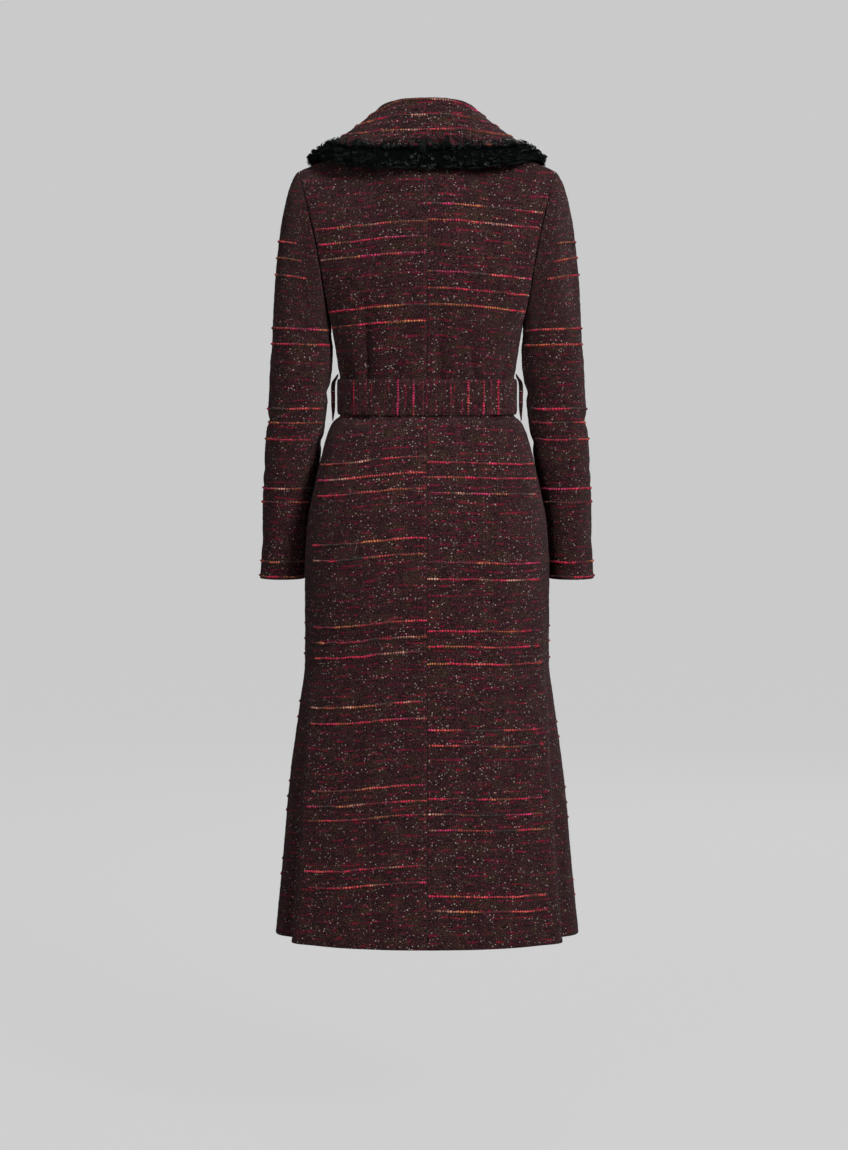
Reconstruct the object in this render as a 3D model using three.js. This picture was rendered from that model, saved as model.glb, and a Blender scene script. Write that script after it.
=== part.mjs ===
// A long belted tweed coat, held open in the shape it has when it is worn.
// Millimetres, +Z up. The front of the coat faces -Y and its left side lies at +X.
// The origin is midway between the shoulders, at the height of the neck seam at the back.
import * as THREE from "three";

// Driving sizes
const WALL = 3;
const SEAM_GAP = 0.3;
const NAPE_HEIGHT = 0;
const UNDERARM_HEIGHT = -272;
const WAIST_HEIGHT = -378;
const HEM_HEIGHT = -1209;
const SHOULDER_TIP = { x: 197, z: -30 };
const NECK_POINT = { x: 75, y: 8, z: 8 };
const BACK_NECK_DEPTH = 62;
const ARMHOLE_DEPTH = 60;
const ROUNDNESS = 2.4;
const FRONT_OVERLAP = 50;
const BELT = { top: -350, bottom: -404.5, thickness: 4, clearance: 1 };
const LOOP = { width: 12, thickness: 3.2, slit: 3.7 };
const FUR = { height: 35, thickness: 18 };
const SIDES = { left: 1, right: -1 };

// Half width and depths of the body, from the neck to the hem
const BODY = [
  { z: 20, half: 140, back: 50, front: -30 },
  { z: 0, half: 150, back: 62, front: -46 },
  { z: -30, half: 175, back: 82, front: -70 },
  { z: -60, half: 188, back: 96, front: -90 },
  { z: -100, half: 182, back: 107, front: -106 },
  { z: -150, half: 170, back: 112, front: -118 },
  { z: -215, half: 158, back: 111, front: -127 },
  { z: -272, half: 147, back: 103, front: -120 },
  { z: -300, half: 142, back: 98, front: -113 },
  { z: -335, half: 137, back: 92, front: -105 },
  { z: -350, half: 134.6, back: 88, front: -101 },
  { z: -407, half: 134.6, back: 88, front: -101 },
  { z: -412, half: 141, back: 94, front: -104 },
  { z: -420, half: 148, back: 100, front: -108 },
  { z: -447, half: 158, back: 110, front: -113 },
  { z: -482, half: 166.5, back: 121, front: -118 },
  { z: -527, half: 177, back: 131, front: -124 },
  { z: -580, half: 186, back: 138, front: -129 },
  { z: -640, half: 189.5, back: 143, front: -133 },
  { z: -790, half: 190, back: 150, front: -141 },
  { z: -840, half: 196, back: 153, front: -145 },
  { z: -965, half: 213, back: 161, front: -155 },
  { z: -1105, half: 226, back: 172, front: -166 },
  { z: HEM_HEIGHT, half: 236.5, back: 182, front: -175 },
];

// Half width of the body where the armhole is cut, from the shoulder to the underarm
const ARMHOLE = [
  { z: -30, x: 197 },
  { z: -60, x: 189 },
  { z: -90, x: 182 },
  { z: -154, x: 168 },
  { z: -199, x: 161 },
  { z: -243, x: 153 },
  { z: -272, x: 147 },
];

// Edge of each front, from the neck point down to the waist
const FRONT_EDGE = [
  { z: 8, x: 75 },
  { z: -60, x: 53 },
  { z: -150, x: 14 },
  { z: -215, x: -22 },
  { z: -272, x: -FRONT_OVERLAP },
  { z: -378, x: -FRONT_OVERLAP },
];

// Level sections of the sleeve below the armhole
const SLEEVE = [
  { z: -300, x: 192.5, y: -2, halfWidth: 47, halfDepth: 60 },
  { z: -330, x: 195, y: -5, halfWidth: 48.5, halfDepth: 59 },
  { z: -366, x: 198, y: -11, halfWidth: 46.5, halfDepth: 57.5 },
  { z: -420, x: 203.5, y: -19, halfWidth: 45.5, halfDepth: 56 },
  { z: -482, x: 210.6, y: -28, halfWidth: 43.2, halfDepth: 54 },
  { z: -527, x: 216.4, y: -36, halfWidth: 39.8, halfDepth: 52 },
  { z: -616, x: 222.6, y: -48, halfWidth: 36, halfDepth: 49 },
  { z: -662, x: 225.9, y: -54, halfWidth: 35.8, halfDepth: 48 },
];

// Soft fold at each side of the back skirt: a ridge, and a trough on its side seam side.
// ridge and trough are angles round the back quarter, in degrees from the centre back seam.
const SIDE_FOLD = [
  { z: -640, depth: 0, ridge: 70, trough: 79 },
  { z: -800, depth: 5, ridge: 69, trough: 78 },
  { z: -960, depth: 11, ridge: 60, trough: 71 },
  { z: -1100, depth: 15, ridge: 59, trough: 71 },
  { z: HEM_HEIGHT, depth: 18, ridge: 58, trough: 71 },
];
const FOLD_SPREAD = 6.5;

// Soft folds that hang in the front skirt, as angles from the centre front
const FRONT_FOLDS = [
  { angle: 34, spread: 8, depth: 7 },
  { angle: 63, spread: 9, depth: 10 },
];

// Roll of the collar and the outer edge of its cloth, from the centre back to the left front end
const COLLAR_ROLL = [
  [0, 65, 76],
  [32, 59, 75],
  [58, 36, 70],
  [69, 3, 60],
  [66, -42, 28],
  [49, -86, -36],
  [31, -112, -98],
  [13, -127, -152],
];
const COLLAR_EDGE = [
  [0, 92, 2],
  [52, 88, 2],
  [108, 67, 4],
  [150, 8, 8],
  [140, -50, -22],
  [101, -94, -82],
  [66, -120, -136],
  [26, -135, -180],
];

const CLOTH_COLOUR = 0x3c2627;
const FUR_COLOUR = 0x0c0c0e;

// Helpers for tables and curves

// Value of one column at a height, with smooth slopes that never overshoot the rows
function lookUp(table, column, z) {
  const last = table.length - 1;
  if (z >= table[0].z) return table[0][column];
  if (z <= table[last].z) return table[last][column];
  const slope = (i) => (table[i + 1][column] - table[i][column]) / (table[i + 1].z - table[i].z);
  const tangent = (i) => {
    if (i === 0) return slope(0);
    if (i === last) return slope(last - 1);
    const before = slope(i - 1);
    const after = slope(i);
    return before * after > 0 ? (2 * before * after) / (before + after) : 0;
  };
  const row = table.findIndex((entry, i) => i < last && z <= entry.z && z >= table[i + 1].z);
  const span = table[row + 1].z - table[row].z;
  const t = (z - table[row].z) / span;
  const start = table[row][column];
  const end = table[row + 1][column];
  return start + (end - start) * t * t * (3 - 2 * t)
    + span * t * (1 - t) * ((1 - t) * tangent(row) - t * tangent(row + 1));
}

const mix = THREE.MathUtils.lerp;
const smooth = THREE.MathUtils.smoothstep;
const range = (count, make) => Array.from({ length: count }, (_, i) => make(i));
const bump = (value, centre, spread) => Math.exp(-(((value - centre) / spread) ** 2));

// Rounded side of a section: 1 at the centre line and 0 at the side, for a share of the half width
function rounding(share, reach = 1) {
  const level = (s) => Math.max(0, 1 - s ** ROUNDNESS) ** (1 / ROUNDNESS);
  return (level(Math.min(1, Math.abs(share)) * reach) - level(reach)) / (1 - level(reach));
}

// Shape of the bodice. v runs from 0 at the shoulder to 1 at the underarm and 2 at the waist.

function sideEdge(v, depth) {
  if (v > 1) {
    const z = mix(UNDERARM_HEIGHT, WAIST_HEIGHT, v - 1);
    return new THREE.Vector3(lookUp(BODY, "half", z), 0, z);
  }
  const turn = Math.PI * v;
  const z = mix(SHOULDER_TIP.z, UNDERARM_HEIGHT, (1 - Math.cos(turn)) / 2);
  return new THREE.Vector3(lookUp(ARMHOLE, "x", z), depth * Math.sin(turn), z);
}

// How far a row of the bodice reaches round its rounded section, 1 where it meets the side seam
const SHOULDER_REACH = 0.8;
const rowReach = (v) => (v < 1 ? mix(SHOULDER_REACH, 1, smooth(v, 0.5, 1)) : 1);

const rowShare = (u, reach) => Math.sin(u * Math.asin(reach)) / reach;

// How much of the shoulder seam's own line a row takes
const SHOULDER_BLEND_END = 0.62;
const shoulderBlend = (v) => 1 - smooth(v, 0, SHOULDER_BLEND_END);

const centreHeight = (v, top) => {
  const edgeHeight = sideEdge(v, 0).z;
  return v < 1 ? mix(edgeHeight + top - SHOULDER_TIP.z, edgeHeight, v) : edgeHeight;
};

// Neck seam and shoulder seam of the back. u runs from the centre back to the shoulder tip.
const NECK_SHARE = 0.42;
function backTop(u) {
  if (u < NECK_SHARE) {
    const turn = (u / NECK_SHARE) * (Math.PI / 2);
    const y = mix(NECK_POINT.y, BACK_NECK_DEPTH, Math.cos(turn));
    const z = mix(NECK_POINT.z, NAPE_HEIGHT, Math.cos(turn));
    return new THREE.Vector3(NECK_POINT.x * Math.sin(turn), y, z);
  }
  return shoulderSeam((u - NECK_SHARE) / (1 - NECK_SHARE));
}

const SHOULDER_CROWN = 4;
function shoulderSeam(share) {
  const x = mix(NECK_POINT.x, SHOULDER_TIP.x, share);
  const z = mix(NECK_POINT.z, SHOULDER_TIP.z, share) + SHOULDER_CROWN * Math.sin(Math.PI * share);
  return new THREE.Vector3(x, mix(NECK_POINT.y, 0, share), z);
}

function backRow(u, v) {
  const edge = sideEdge(v, ARMHOLE_DEPTH);
  const reach = rowReach(v);
  const share = rowShare(u, reach);
  const z = mix(centreHeight(v, NAPE_HEIGHT), edge.z, share);
  const centreDepth = lookUp(BODY, "back", centreHeight(v, NAPE_HEIGHT));
  return new THREE.Vector3(edge.x * share, mix(edge.y, centreDepth, rounding(share, reach)), z);
}

function backBodice(u, v) {
  const point = backRow(u, v);
  const shift = backTop(u).sub(backRow(u, 0));
  return point.addScaledVector(shift, shoulderBlend(v));
}

function frontRow(u, v) {
  const edge = sideEdge(v, -ARMHOLE_DEPTH);
  const reach = rowReach(v);
  const centre = centreHeight(v, NECK_POINT.z);
  const inner = lookUp(FRONT_EDGE, "x", centre);
  const x = mix(inner, edge.x, rowShare(u, reach));
  const share = Math.abs(x) / edge.x;
  const z = mix(centre, edge.z, rowShare(u, reach));
  const centreDepth = lookUp(BODY, "front", centre);
  return new THREE.Vector3(x, mix(edge.y, centreDepth, rounding(share, reach)), z);
}

function frontBodice(u, v) {
  const point = frontRow(u, v);
  const shift = shoulderSeam(u).sub(frontRow(u, 0));
  return point.addScaledVector(shift, shoulderBlend(v));
}

// Shape of the skirt. u runs from the centre to the side seam and v from the waist to the hem.

const SKIRT_LEVELS = [-378, -406, -412, -421, -440, -470, -510, -565, -640, -740, -850, -970, -1090, HEM_HEIGHT];

function skirtHeight(v) {
  const place = v * (SKIRT_LEVELS.length - 1);
  const row = Math.min(Math.floor(place), SKIRT_LEVELS.length - 2);
  return mix(SKIRT_LEVELS[row], SKIRT_LEVELS[row + 1], place - row);
}

function skirtSection(share, depthColumn, z) {
  const half = lookUp(BODY, "half", z);
  return new THREE.Vector3(half * share, lookUp(BODY, depthColumn, z) * rounding(share), z);
}

// Height of a side fold's ridge, as a share of its trough
const RIDGE_SHARE = 0.45;

function backSkirt(u, v) {
  const z = skirtHeight(v);
  const angle = u * 90;
  const point = skirtSection(Math.sin(THREE.MathUtils.degToRad(angle)), "back", z);
  const ridge = bump(angle, lookUp(SIDE_FOLD, "ridge", z), FOLD_SPREAD);
  const trough = bump(angle, lookUp(SIDE_FOLD, "trough", z), FOLD_SPREAD);
  const push = lookUp(SIDE_FOLD, "depth", z) * (RIDGE_SHARE * ridge - trough);
  return pushOut(point, push);
}

const FRONT_FOLDS_START = 560;

function frontSkirt(u, v) {
  const z = skirtHeight(v);
  const half = lookUp(BODY, "half", z);
  const turn = mix(-Math.asin(FRONT_OVERLAP / half), Math.PI / 2, u);
  const point = skirtSection(Math.sin(turn), "front", z);
  const angle = THREE.MathUtils.radToDeg(turn);
  const growth = smooth(-z, FRONT_FOLDS_START, -HEM_HEIGHT);
  const push = FRONT_FOLDS.reduce((sum, fold) => sum + fold.depth * bump(angle, fold.angle, fold.spread), 0);
  return pushOut(point, push * growth);
}

// Moves a point level, away from the coat's upright axis
function pushOut(point, distance) {
  const away = new THREE.Vector3(point.x, point.y, 0).normalize();
  return point.addScaledVector(away, distance);
}

// The left front lies under the right one, one wall and a gap further in
const TUCK = { depth: WALL + 5 * SEAM_GAP, full: FRONT_OVERLAP + 15, none: FRONT_OVERLAP + 70, top: 70, deep: 150 };
function tuckUnder(point) {
  const across = 1 - smooth(point.x, TUCK.full, TUCK.none);
  const down = smooth(-point.z, TUCK.top, TUCK.deep);
  point.y += TUCK.depth * across * down;
  return point;
}

// Closed walls

// Normals of a grid of points, from the differences between neighbours. Most of them point away from the axis.
function gridNormals(grid) {
  const rows = grid.length;
  const columns = grid[0].length;
  const normals = grid.map((row, i) => row.map((_, j) => {
    const down = grid[Math.min(i + 1, rows - 1)][j].clone().sub(grid[Math.max(i - 1, 0)][j]);
    const across = row[Math.min(j + 1, columns - 1)].clone().sub(row[Math.max(j - 1, 0)]);
    return down.cross(across).normalize();
  }));
  const outward = grid.flat().reduce((sum, { x, y }, k) => {
    const normal = normals.flat()[k];
    return sum + normal.x * x + normal.y * y;
  }, 0);
  if (outward < 0) normals.flat().forEach((normal) => normal.negate());
  return normals;
}

// Closed solid between an outer grid and an inner grid of the same size
function wallBetween(outer, inner, round = false) {
  const rows = outer.length;
  const columns = outer[0].length;
  const positions = [...outer.flat(), ...inner.flat()].flatMap((point) => point.toArray());
  const at = (layer, i, j) => layer * rows * columns + i * columns + (j % columns);
  const triangles = [];
  const quad = (a, b, c, d) => triangles.push(a, b, c, a, c, d);
  const lastColumn = round ? columns : columns - 1;
  for (let i = 0; i < rows - 1; i += 1) {
    for (let j = 0; j < lastColumn; j += 1) {
      quad(at(0, i, j), at(0, i + 1, j), at(0, i + 1, j + 1), at(0, i, j + 1));
      quad(at(1, i, j), at(1, i, j + 1), at(1, i + 1, j + 1), at(1, i + 1, j));
    }
  }
  for (let j = 0; j < lastColumn; j += 1) {
    quad(at(0, 0, j), at(0, 0, j + 1), at(1, 0, j + 1), at(1, 0, j));
    quad(at(0, rows - 1, j), at(1, rows - 1, j), at(1, rows - 1, j + 1), at(0, rows - 1, j + 1));
  }
  for (let i = 0; !round && i < rows - 1; i += 1) {
    quad(at(0, i, 0), at(1, i, 0), at(1, i + 1, 0), at(0, i + 1, 0));
    quad(at(0, i, columns - 1), at(0, i + 1, columns - 1), at(1, i + 1, columns - 1), at(1, i, columns - 1));
  }
  return solid(positions, triangles);
}

// Geometry with its faces turned outward, whichever way the grid ran
function solid(positions, triangles) {
  const corner = (index) => new THREE.Vector3().fromArray(positions, index * 3);
  let volume = 0;
  for (let t = 0; t < triangles.length; t += 3) {
    const [a, b, c] = [0, 1, 2].map((k) => corner(triangles[t + k]));
    volume += a.dot(b.cross(c));
  }
  const facing = volume < 0 ? triangles.slice().reverse() : triangles;
  const geometry = new THREE.BufferGeometry();
  geometry.setAttribute("position", new THREE.Float32BufferAttribute(positions, 3));
  geometry.setIndex(facing);
  return geometry;
}

// Turns every normal of one edge level with the seam's plane, so that the two rims lie face to face
function flatten(normals, axis, picks) {
  normals.forEach((row, i) => row.forEach((normal, j) => {
    if (picks(i, j)) {
      normal[axis] = 0;
      normal.normalize();
    }
  }));
}

// A cut panel. shape(u, v) gives the outer face of the coat's left half.
function panel({ columns, levels, shape, side, seams, tucked = false }) {
  const grid = levels.map((v) => range(columns + 1, (j) => {
    const point = shape(j / columns, v);
    return tucked ? tuckUnder(point) : point;
  }));
  const normals = gridNormals(grid);
  for (const seam of seams) {
    flatten(normals, seam.axis, seam.picks);
    grid.forEach((row, i) => row.forEach((point, j) => {
      if (seam.picks(i, j)) point[seam.axis] += (seam.inward * SEAM_GAP) / 2;
    }));
  }
  const inner = grid.map((row, i) => row.map((point, j) => point.clone().addScaledVector(normals[i][j], -WALL)));
  for (const point of [...grid.flat(), ...inner.flat()]) point.x *= SIDES[side];
  return wallBetween(grid, inner);
}

const ARMHOLE_ROWS = 10;
const UNDERARM_ROWS = 4;
const BODICE_COLUMNS = 9;
const BODICE_LEVELS = range(ARMHOLE_ROWS + UNDERARM_ROWS + 1, (i) => (
  i < ARMHOLE_ROWS ? i / ARMHOLE_ROWS : 1 + (i - ARMHOLE_ROWS) / UNDERARM_ROWS));
const SKIRT_COLUMNS = 15;
const SKIRT_STEPS = range(SKIRT_LEVELS.length, (i) => i / (SKIRT_LEVELS.length - 1));

// Which points of a panel lie on each seam, and which way the panel lies from it
const lastBodiceRow = ARMHOLE_ROWS + UNDERARM_ROWS;
const SEAMS = {
  centreBack: { axis: "x", inward: 1, picks: (i, j) => j === 0 },
  bodiceSide: (inward) => ({ axis: "y", inward, picks: (i, j) => j === BODICE_COLUMNS && i >= ARMHOLE_ROWS }),
  shoulder: (inward, first) => ({ axis: "y", inward, picks: (i, j) => i === 0 && j >= first }),
  waistAbove: { axis: "z", inward: 1, picks: (i) => i === lastBodiceRow },
  waistBelow: { axis: "z", inward: -1, picks: (i) => i === 0 },
  skirtSide: (inward) => ({ axis: "y", inward, picks: (i, j) => j === SKIRT_COLUMNS }),
};

function backBodicePanel(side) {
  const neckColumns = Math.round(BODICE_COLUMNS * NECK_SHARE);
  const seams = [SEAMS.centreBack, SEAMS.bodiceSide(1), SEAMS.shoulder(1, neckColumns), SEAMS.waistAbove];
  return panel({ columns: BODICE_COLUMNS, levels: BODICE_LEVELS, shape: backBodice, side, seams });
}

function frontBodicePanel(side) {
  const seams = [SEAMS.bodiceSide(-1), SEAMS.shoulder(-1, 0), SEAMS.waistAbove];
  const tucked = side === "left";
  return panel({ columns: BODICE_COLUMNS, levels: BODICE_LEVELS, shape: frontBodice, side, seams, tucked });
}

function backSkirtPanel(side) {
  const seams = [SEAMS.centreBack, SEAMS.skirtSide(1), SEAMS.waistBelow];
  return panel({ columns: SKIRT_COLUMNS, levels: SKIRT_STEPS, shape: backSkirt, side, seams });
}

function frontSkirtPanel(side) {
  const seams = [SEAMS.skirtSide(-1), SEAMS.waistBelow];
  const tucked = side === "left";
  return panel({ columns: SKIRT_COLUMNS, levels: SKIRT_STEPS, shape: frontSkirt, side, seams, tucked });
}

// Sleeve. turn runs round it from the outer side, through the back, to the inner side.

const CAP_RINGS = 6;
const SLEEVE_COLUMNS = 2 * ARMHOLE_ROWS;
const SLEEVE_HEIGHTS = [-330, -366, -420, -482, -545, -605, -662];
const SLEEVE_START = 0.45;

// Control point of the cap between the armhole and the arm: its share of the way, and its rise at the top
const CAP = { share: 0.4, out: 2, topOut: 16, topRise: 70 };

function sleeveSection(turn, z) {
  const centre = new THREE.Vector3(lookUp(SLEEVE, "x", z), lookUp(SLEEVE, "y", z), z);
  const across = lookUp(SLEEVE, "halfWidth", z) * Math.cos(turn);
  const along = lookUp(SLEEVE, "halfDepth", z) * Math.sin(turn);
  return centre.add(new THREE.Vector3(across, along, 0));
}

function sleeveCap(turn, share) {
  const behind = Math.sin(turn) >= 0 ? 1 : -1;
  const around = Math.acos(THREE.MathUtils.clamp(Math.cos(turn), -1, 1)) / Math.PI;
  const start = sideEdge(around, behind * ARMHOLE_DEPTH);
  start.x += SLEEVE_START;
  const end = sleeveSection(turn, SLEEVE[0].z);
  const top = ((1 + Math.cos(turn)) / 2) ** 2;
  const middle = start.clone().lerp(end, CAP.share);
  middle.add(new THREE.Vector3(CAP.out + CAP.topOut * top, 0, CAP.topRise * top));
  return new THREE.QuadraticBezierCurve3(start, middle, end).getPoint(share);
}

function sleeve(side) {
  const turns = range(SLEEVE_COLUMNS, (j) => (2 * Math.PI * j) / SLEEVE_COLUMNS);
  const cap = range(CAP_RINGS + 1, (i) => turns.map((turn) => sleeveCap(turn, i / CAP_RINGS)));
  const arm = SLEEVE_HEIGHTS.map((z) => turns.map((turn) => sleeveSection(turn, z)));
  const outer = [...cap, ...arm];
  const inner = outer.map((ring, i) => {
    const centre = ring.reduce((sum, point) => sum.add(point), new THREE.Vector3()).divideScalar(ring.length);
    return ring.map((point) => {
      const inward = centre.clone().sub(point);
      if (i === 0) inward.x = 0;
      return point.clone().addScaledVector(inward.normalize(), WALL);
    });
  });
  for (const point of [...outer.flat(), ...inner.flat()]) point.x *= SIDES[side];
  return wallBetween(outer, inner, true);
}

// Collar. s runs from the centre back to a front end, t from the neck seam over the roll to the edge.

const COLLAR_COLUMNS = 16;
const COLLAR_END_V = 0.56;
const rollCurve = new THREE.CatmullRomCurve3(COLLAR_ROLL.map((p) => new THREE.Vector3(...p)));
const edgeCurve = new THREE.CatmullRomCurve3(COLLAR_EDGE.map((p) => new THREE.Vector3(...p)));
const NECK_PART = 0.36;

function neckSeam(s) {
  const seam = s < NECK_PART
    ? backBodice((s / NECK_PART) * NECK_SHARE, 0)
    : frontBodice(0, ((s - NECK_PART) / (1 - NECK_PART)) * COLLAR_END_V);
  return seam;
}

// Points of a section between the neck seam and the roll, and between the roll and the edge.
// share is the way along and out how far the cloth stands off the straight line.
const STAND_SHARES = [0.55, 0.9];
const FALL_POINTS = [
  { share: 0, out: 4 },
  { share: 0.18, out: 3 },
  { share: 0.6, out: 1 },
];

// The collar stands above the neck seam at the back and in front of it on the chest
const ABOVE = new THREE.Vector3(0, 0, 1);
const BEFORE = new THREE.Vector3(0, -1, 0.3);
const TURN_START = 0.3;
const TURN_END = 0.6;

function collarSection(s) {
  const roll = rollCurve.getPoint(s);
  const edge = edgeCurve.getPoint(s);
  const base = neckSeam(s).add(ABOVE.clone().lerp(BEFORE, smooth(s, TURN_START, TURN_END)));
  const fall = edge.clone().sub(roll);
  const level = new THREE.Vector3(fall.x, fall.y, 0).normalize();
  const rise = roll.clone().sub(base);
  const stand = STAND_SHARES.map((share) => base.clone().addScaledVector(rise, share));
  const over = FALL_POINTS.map(({ share, out }) => (
    roll.clone().addScaledVector(fall, share).addScaledVector(level, out)));
  return new THREE.CatmullRomCurve3([base, ...stand, ...over, edge]);
}

function collar() {
  const shares = range(2 * COLLAR_COLUMNS + 1, (j) => j / COLLAR_COLUMNS - 1);
  const steps = [0, 0.2, 0.36, 0.46, 0.54, 0.62, 0.74, 0.88, 1];
  const middle = steps.map((t) => shares.map((share) => {
    const point = collarSection(Math.abs(share)).getPoint(t);
    point.x *= Math.sign(share) || 1;
    return point;
  }));
  const normals = gridNormals(middle);
  const layer = (offset) => middle.map((row, i) => row.map((point, j) => (
    point.clone().addScaledVector(normals[i][j], offset))));
  return wallBetween(layer(WALL / 2), layer(-WALL / 2));
}

// Fur strip along the outer edge of the collar's cloth

const FUR_SIDES = 8;
const FUR_OFFSET = 3 * SEAM_GAP;

// Share of the strip's full size: it draws in over the last part of the way to each front end
const furTaper = (s) => Math.sqrt(Math.max(0.12, 1 - s ** 8));

function furTrim() {
  const shares = range(2 * COLLAR_COLUMNS + 1, (j) => j / COLLAR_COLUMNS - 1);
  const rings = shares.map((share) => {
    const s = Math.abs(share);
    const edge = edgeCurve.getPoint(s);
    const fall = edge.clone().sub(rollCurve.getPoint(s)).normalize();
    const ahead = edgeCurve.getTangent(s);
    const out = ahead.clone().cross(fall).normalize();
    const taper = furTaper(s);
    const centre = edge.clone().addScaledVector(fall, (FUR.height / 2) * taper + FUR_OFFSET);
    return range(FUR_SIDES, (k) => {
      const turn = (2 * Math.PI * k) / FUR_SIDES;
      const point = centre.clone()
        .addScaledVector(fall, (FUR.height / 2) * taper * Math.cos(turn))
        .addScaledVector(out, (FUR.thickness / 2) * taper * Math.sin(turn));
      point.x *= Math.sign(share) || 1;
      return point;
    });
  });
  return capped(rings);
}

// Closed solid through rings of points, with a flat cap at each end
function capped(rings) {
  const columns = rings[0].length;
  const positions = rings.flat().flatMap((point) => point.toArray());
  const triangles = [];
  for (let i = 0; i < rings.length - 1; i += 1) {
    for (let j = 0; j < columns; j += 1) {
      const next = (j + 1) % columns;
      const [a, b] = [i * columns + j, i * columns + next];
      triangles.push(a, b, b + columns, a, b + columns, a + columns);
    }
  }
  const last = (rings.length - 1) * columns;
  for (let j = 1; j < columns - 1; j += 1) {
    triangles.push(0, j + 1, j, last, last + j, last + j + 1);
  }
  return solid(positions, triangles);
}

// Belt: once round the waist from its under end to its upper end, which crosses over it at the front

const BELT_UNDER_END = 198;
const BELT_UPPER_END = -222;
const BELT_STEPS = 54;

// Angles between which the upper end climbs onto the under end
const BELT_CLIMB = { start: 128, end: 156 };

// Point of the waist at an angle, measured from the centre back towards the left side
function waistPoint(degrees, offset) {
  const turn = THREE.MathUtils.degToRad(degrees);
  const depth = Math.cos(turn) >= 0 ? lookUp(BODY, "back", WAIST_HEIGHT) : -lookUp(BODY, "front", WAIST_HEIGHT);
  const share = Math.abs(Math.sin(turn));
  const half = lookUp(BODY, "half", WAIST_HEIGHT) + offset;
  const x = half * share * Math.sign(Math.sin(turn));
  const y = (depth + offset) * rounding(share) * Math.sign(Math.cos(turn));
  return [x, y];
}

function belt() {
  const ring = (extra) => range(BELT_STEPS + 1, (i) => {
    const angle = mix(BELT_UNDER_END, BELT_UPPER_END, i / BELT_STEPS);
    const lift = (BELT.thickness + 2 * SEAM_GAP) * smooth(-angle, BELT_CLIMB.start, BELT_CLIMB.end);
    return waistPoint(angle, BELT.clearance + lift + extra);
  });
  const grid = (extra) => [BELT.top, BELT.bottom].map((z) => ring(extra).map(([x, y]) => new THREE.Vector3(x, y, z)));
  return wallBetween(grid(BELT.thickness), grid(0));
}

// Belt loop: a flat strip that stands off the belt at the side seam, sewn on above and below it
const LOOP_ENDS = { above: 8, below: 11 };
function beltLoop(side) {
  const beltFace = lookUp(BODY, "half", WAIST_HEIGHT) + BELT.clearance + BELT.thickness;
  const stand = beltFace + LOOP.slit;
  const top = BELT.top + LOOP_ENDS.above;
  const bottom = BELT.bottom - LOOP_ENDS.below;
  const path = [
    { x: lookUp(BODY, "half", top) + 2 * SEAM_GAP, z: top },
    { x: lookUp(BODY, "half", top) + 2.5, z: BELT.top + 3 },
    { x: stand - 1, z: BELT.top - 4 },
    { x: stand, z: BELT.top - 12 },
    { x: stand, z: BELT.bottom + 12 },
    { x: stand + 0.6, z: BELT.bottom + 3 },
    { x: lookUp(BODY, "half", bottom) + SEAM_GAP, z: bottom },
  ];
  const grid = (extra) => path.map(({ x, z }) => [-1, 1].map((end) => (
    new THREE.Vector3((x + extra) * SIDES[side], (end * LOOP.width) / 2, z))));
  return wallBetween(grid(LOOP.thickness), grid(0));
}

// The coat

const cloth = () => new THREE.MeshStandardMaterial({ color: CLOTH_COLOUR, roughness: 0.95, metalness: 0 });
const fur = () => new THREE.MeshStandardMaterial({ color: FUR_COLOUR, roughness: 0.7, metalness: 0 });

const coat = new THREE.Group();

function addPiece(name, geometry, material) {
  const piece = new THREE.Mesh(geometry, material);
  piece.name = name;
  coat.add(piece);
}

for (const side of Object.keys(SIDES)) {
  addPiece(`back_bodice_${side}`, backBodicePanel(side), cloth());
  addPiece(`front_bodice_${side}`, frontBodicePanel(side), cloth());
  addPiece(`back_skirt_${side}`, backSkirtPanel(side), cloth());
  addPiece(`front_skirt_${side}`, frontSkirtPanel(side), cloth());
  addPiece(`sleeve_${side}`, sleeve(side), cloth());
  addPiece(`belt_loop_${side}`, beltLoop(side), cloth());
}
addPiece("collar", collar(), cloth());
addPiece("fur_trim", furTrim(), fur());
addPiece("belt", belt(), cloth());

export default coat;
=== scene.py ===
"""The looks of a long belted tweed coat with a fur-edged collar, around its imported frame.

Shapes are worked out in millimetres, as the coat's own sections give them, and turned into metres when a mesh
is made. The front of the coat faces -Y and its left side lies at +X.
"""
import math

import bpy
import numpy as np
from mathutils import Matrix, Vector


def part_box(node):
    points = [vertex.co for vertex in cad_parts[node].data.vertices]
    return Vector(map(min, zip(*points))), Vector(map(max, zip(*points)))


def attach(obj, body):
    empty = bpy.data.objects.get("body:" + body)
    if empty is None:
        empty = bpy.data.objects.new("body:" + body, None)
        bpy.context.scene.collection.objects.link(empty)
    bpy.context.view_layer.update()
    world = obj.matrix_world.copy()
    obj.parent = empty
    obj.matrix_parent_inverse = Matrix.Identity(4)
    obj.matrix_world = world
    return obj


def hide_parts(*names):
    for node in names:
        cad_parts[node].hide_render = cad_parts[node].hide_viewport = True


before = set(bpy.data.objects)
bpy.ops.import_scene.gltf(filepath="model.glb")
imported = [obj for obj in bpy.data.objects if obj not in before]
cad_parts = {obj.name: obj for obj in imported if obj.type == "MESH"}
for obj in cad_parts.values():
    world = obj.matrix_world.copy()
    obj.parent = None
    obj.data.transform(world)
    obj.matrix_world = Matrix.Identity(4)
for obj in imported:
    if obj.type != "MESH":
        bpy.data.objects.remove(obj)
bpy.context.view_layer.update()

# Units and the frame's own levels

MM = 0.001


def level(node, end):
    """Lowest (0) or highest (1) height of a node of the frame, in millimetres."""
    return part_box(node)[end].z / MM


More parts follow.
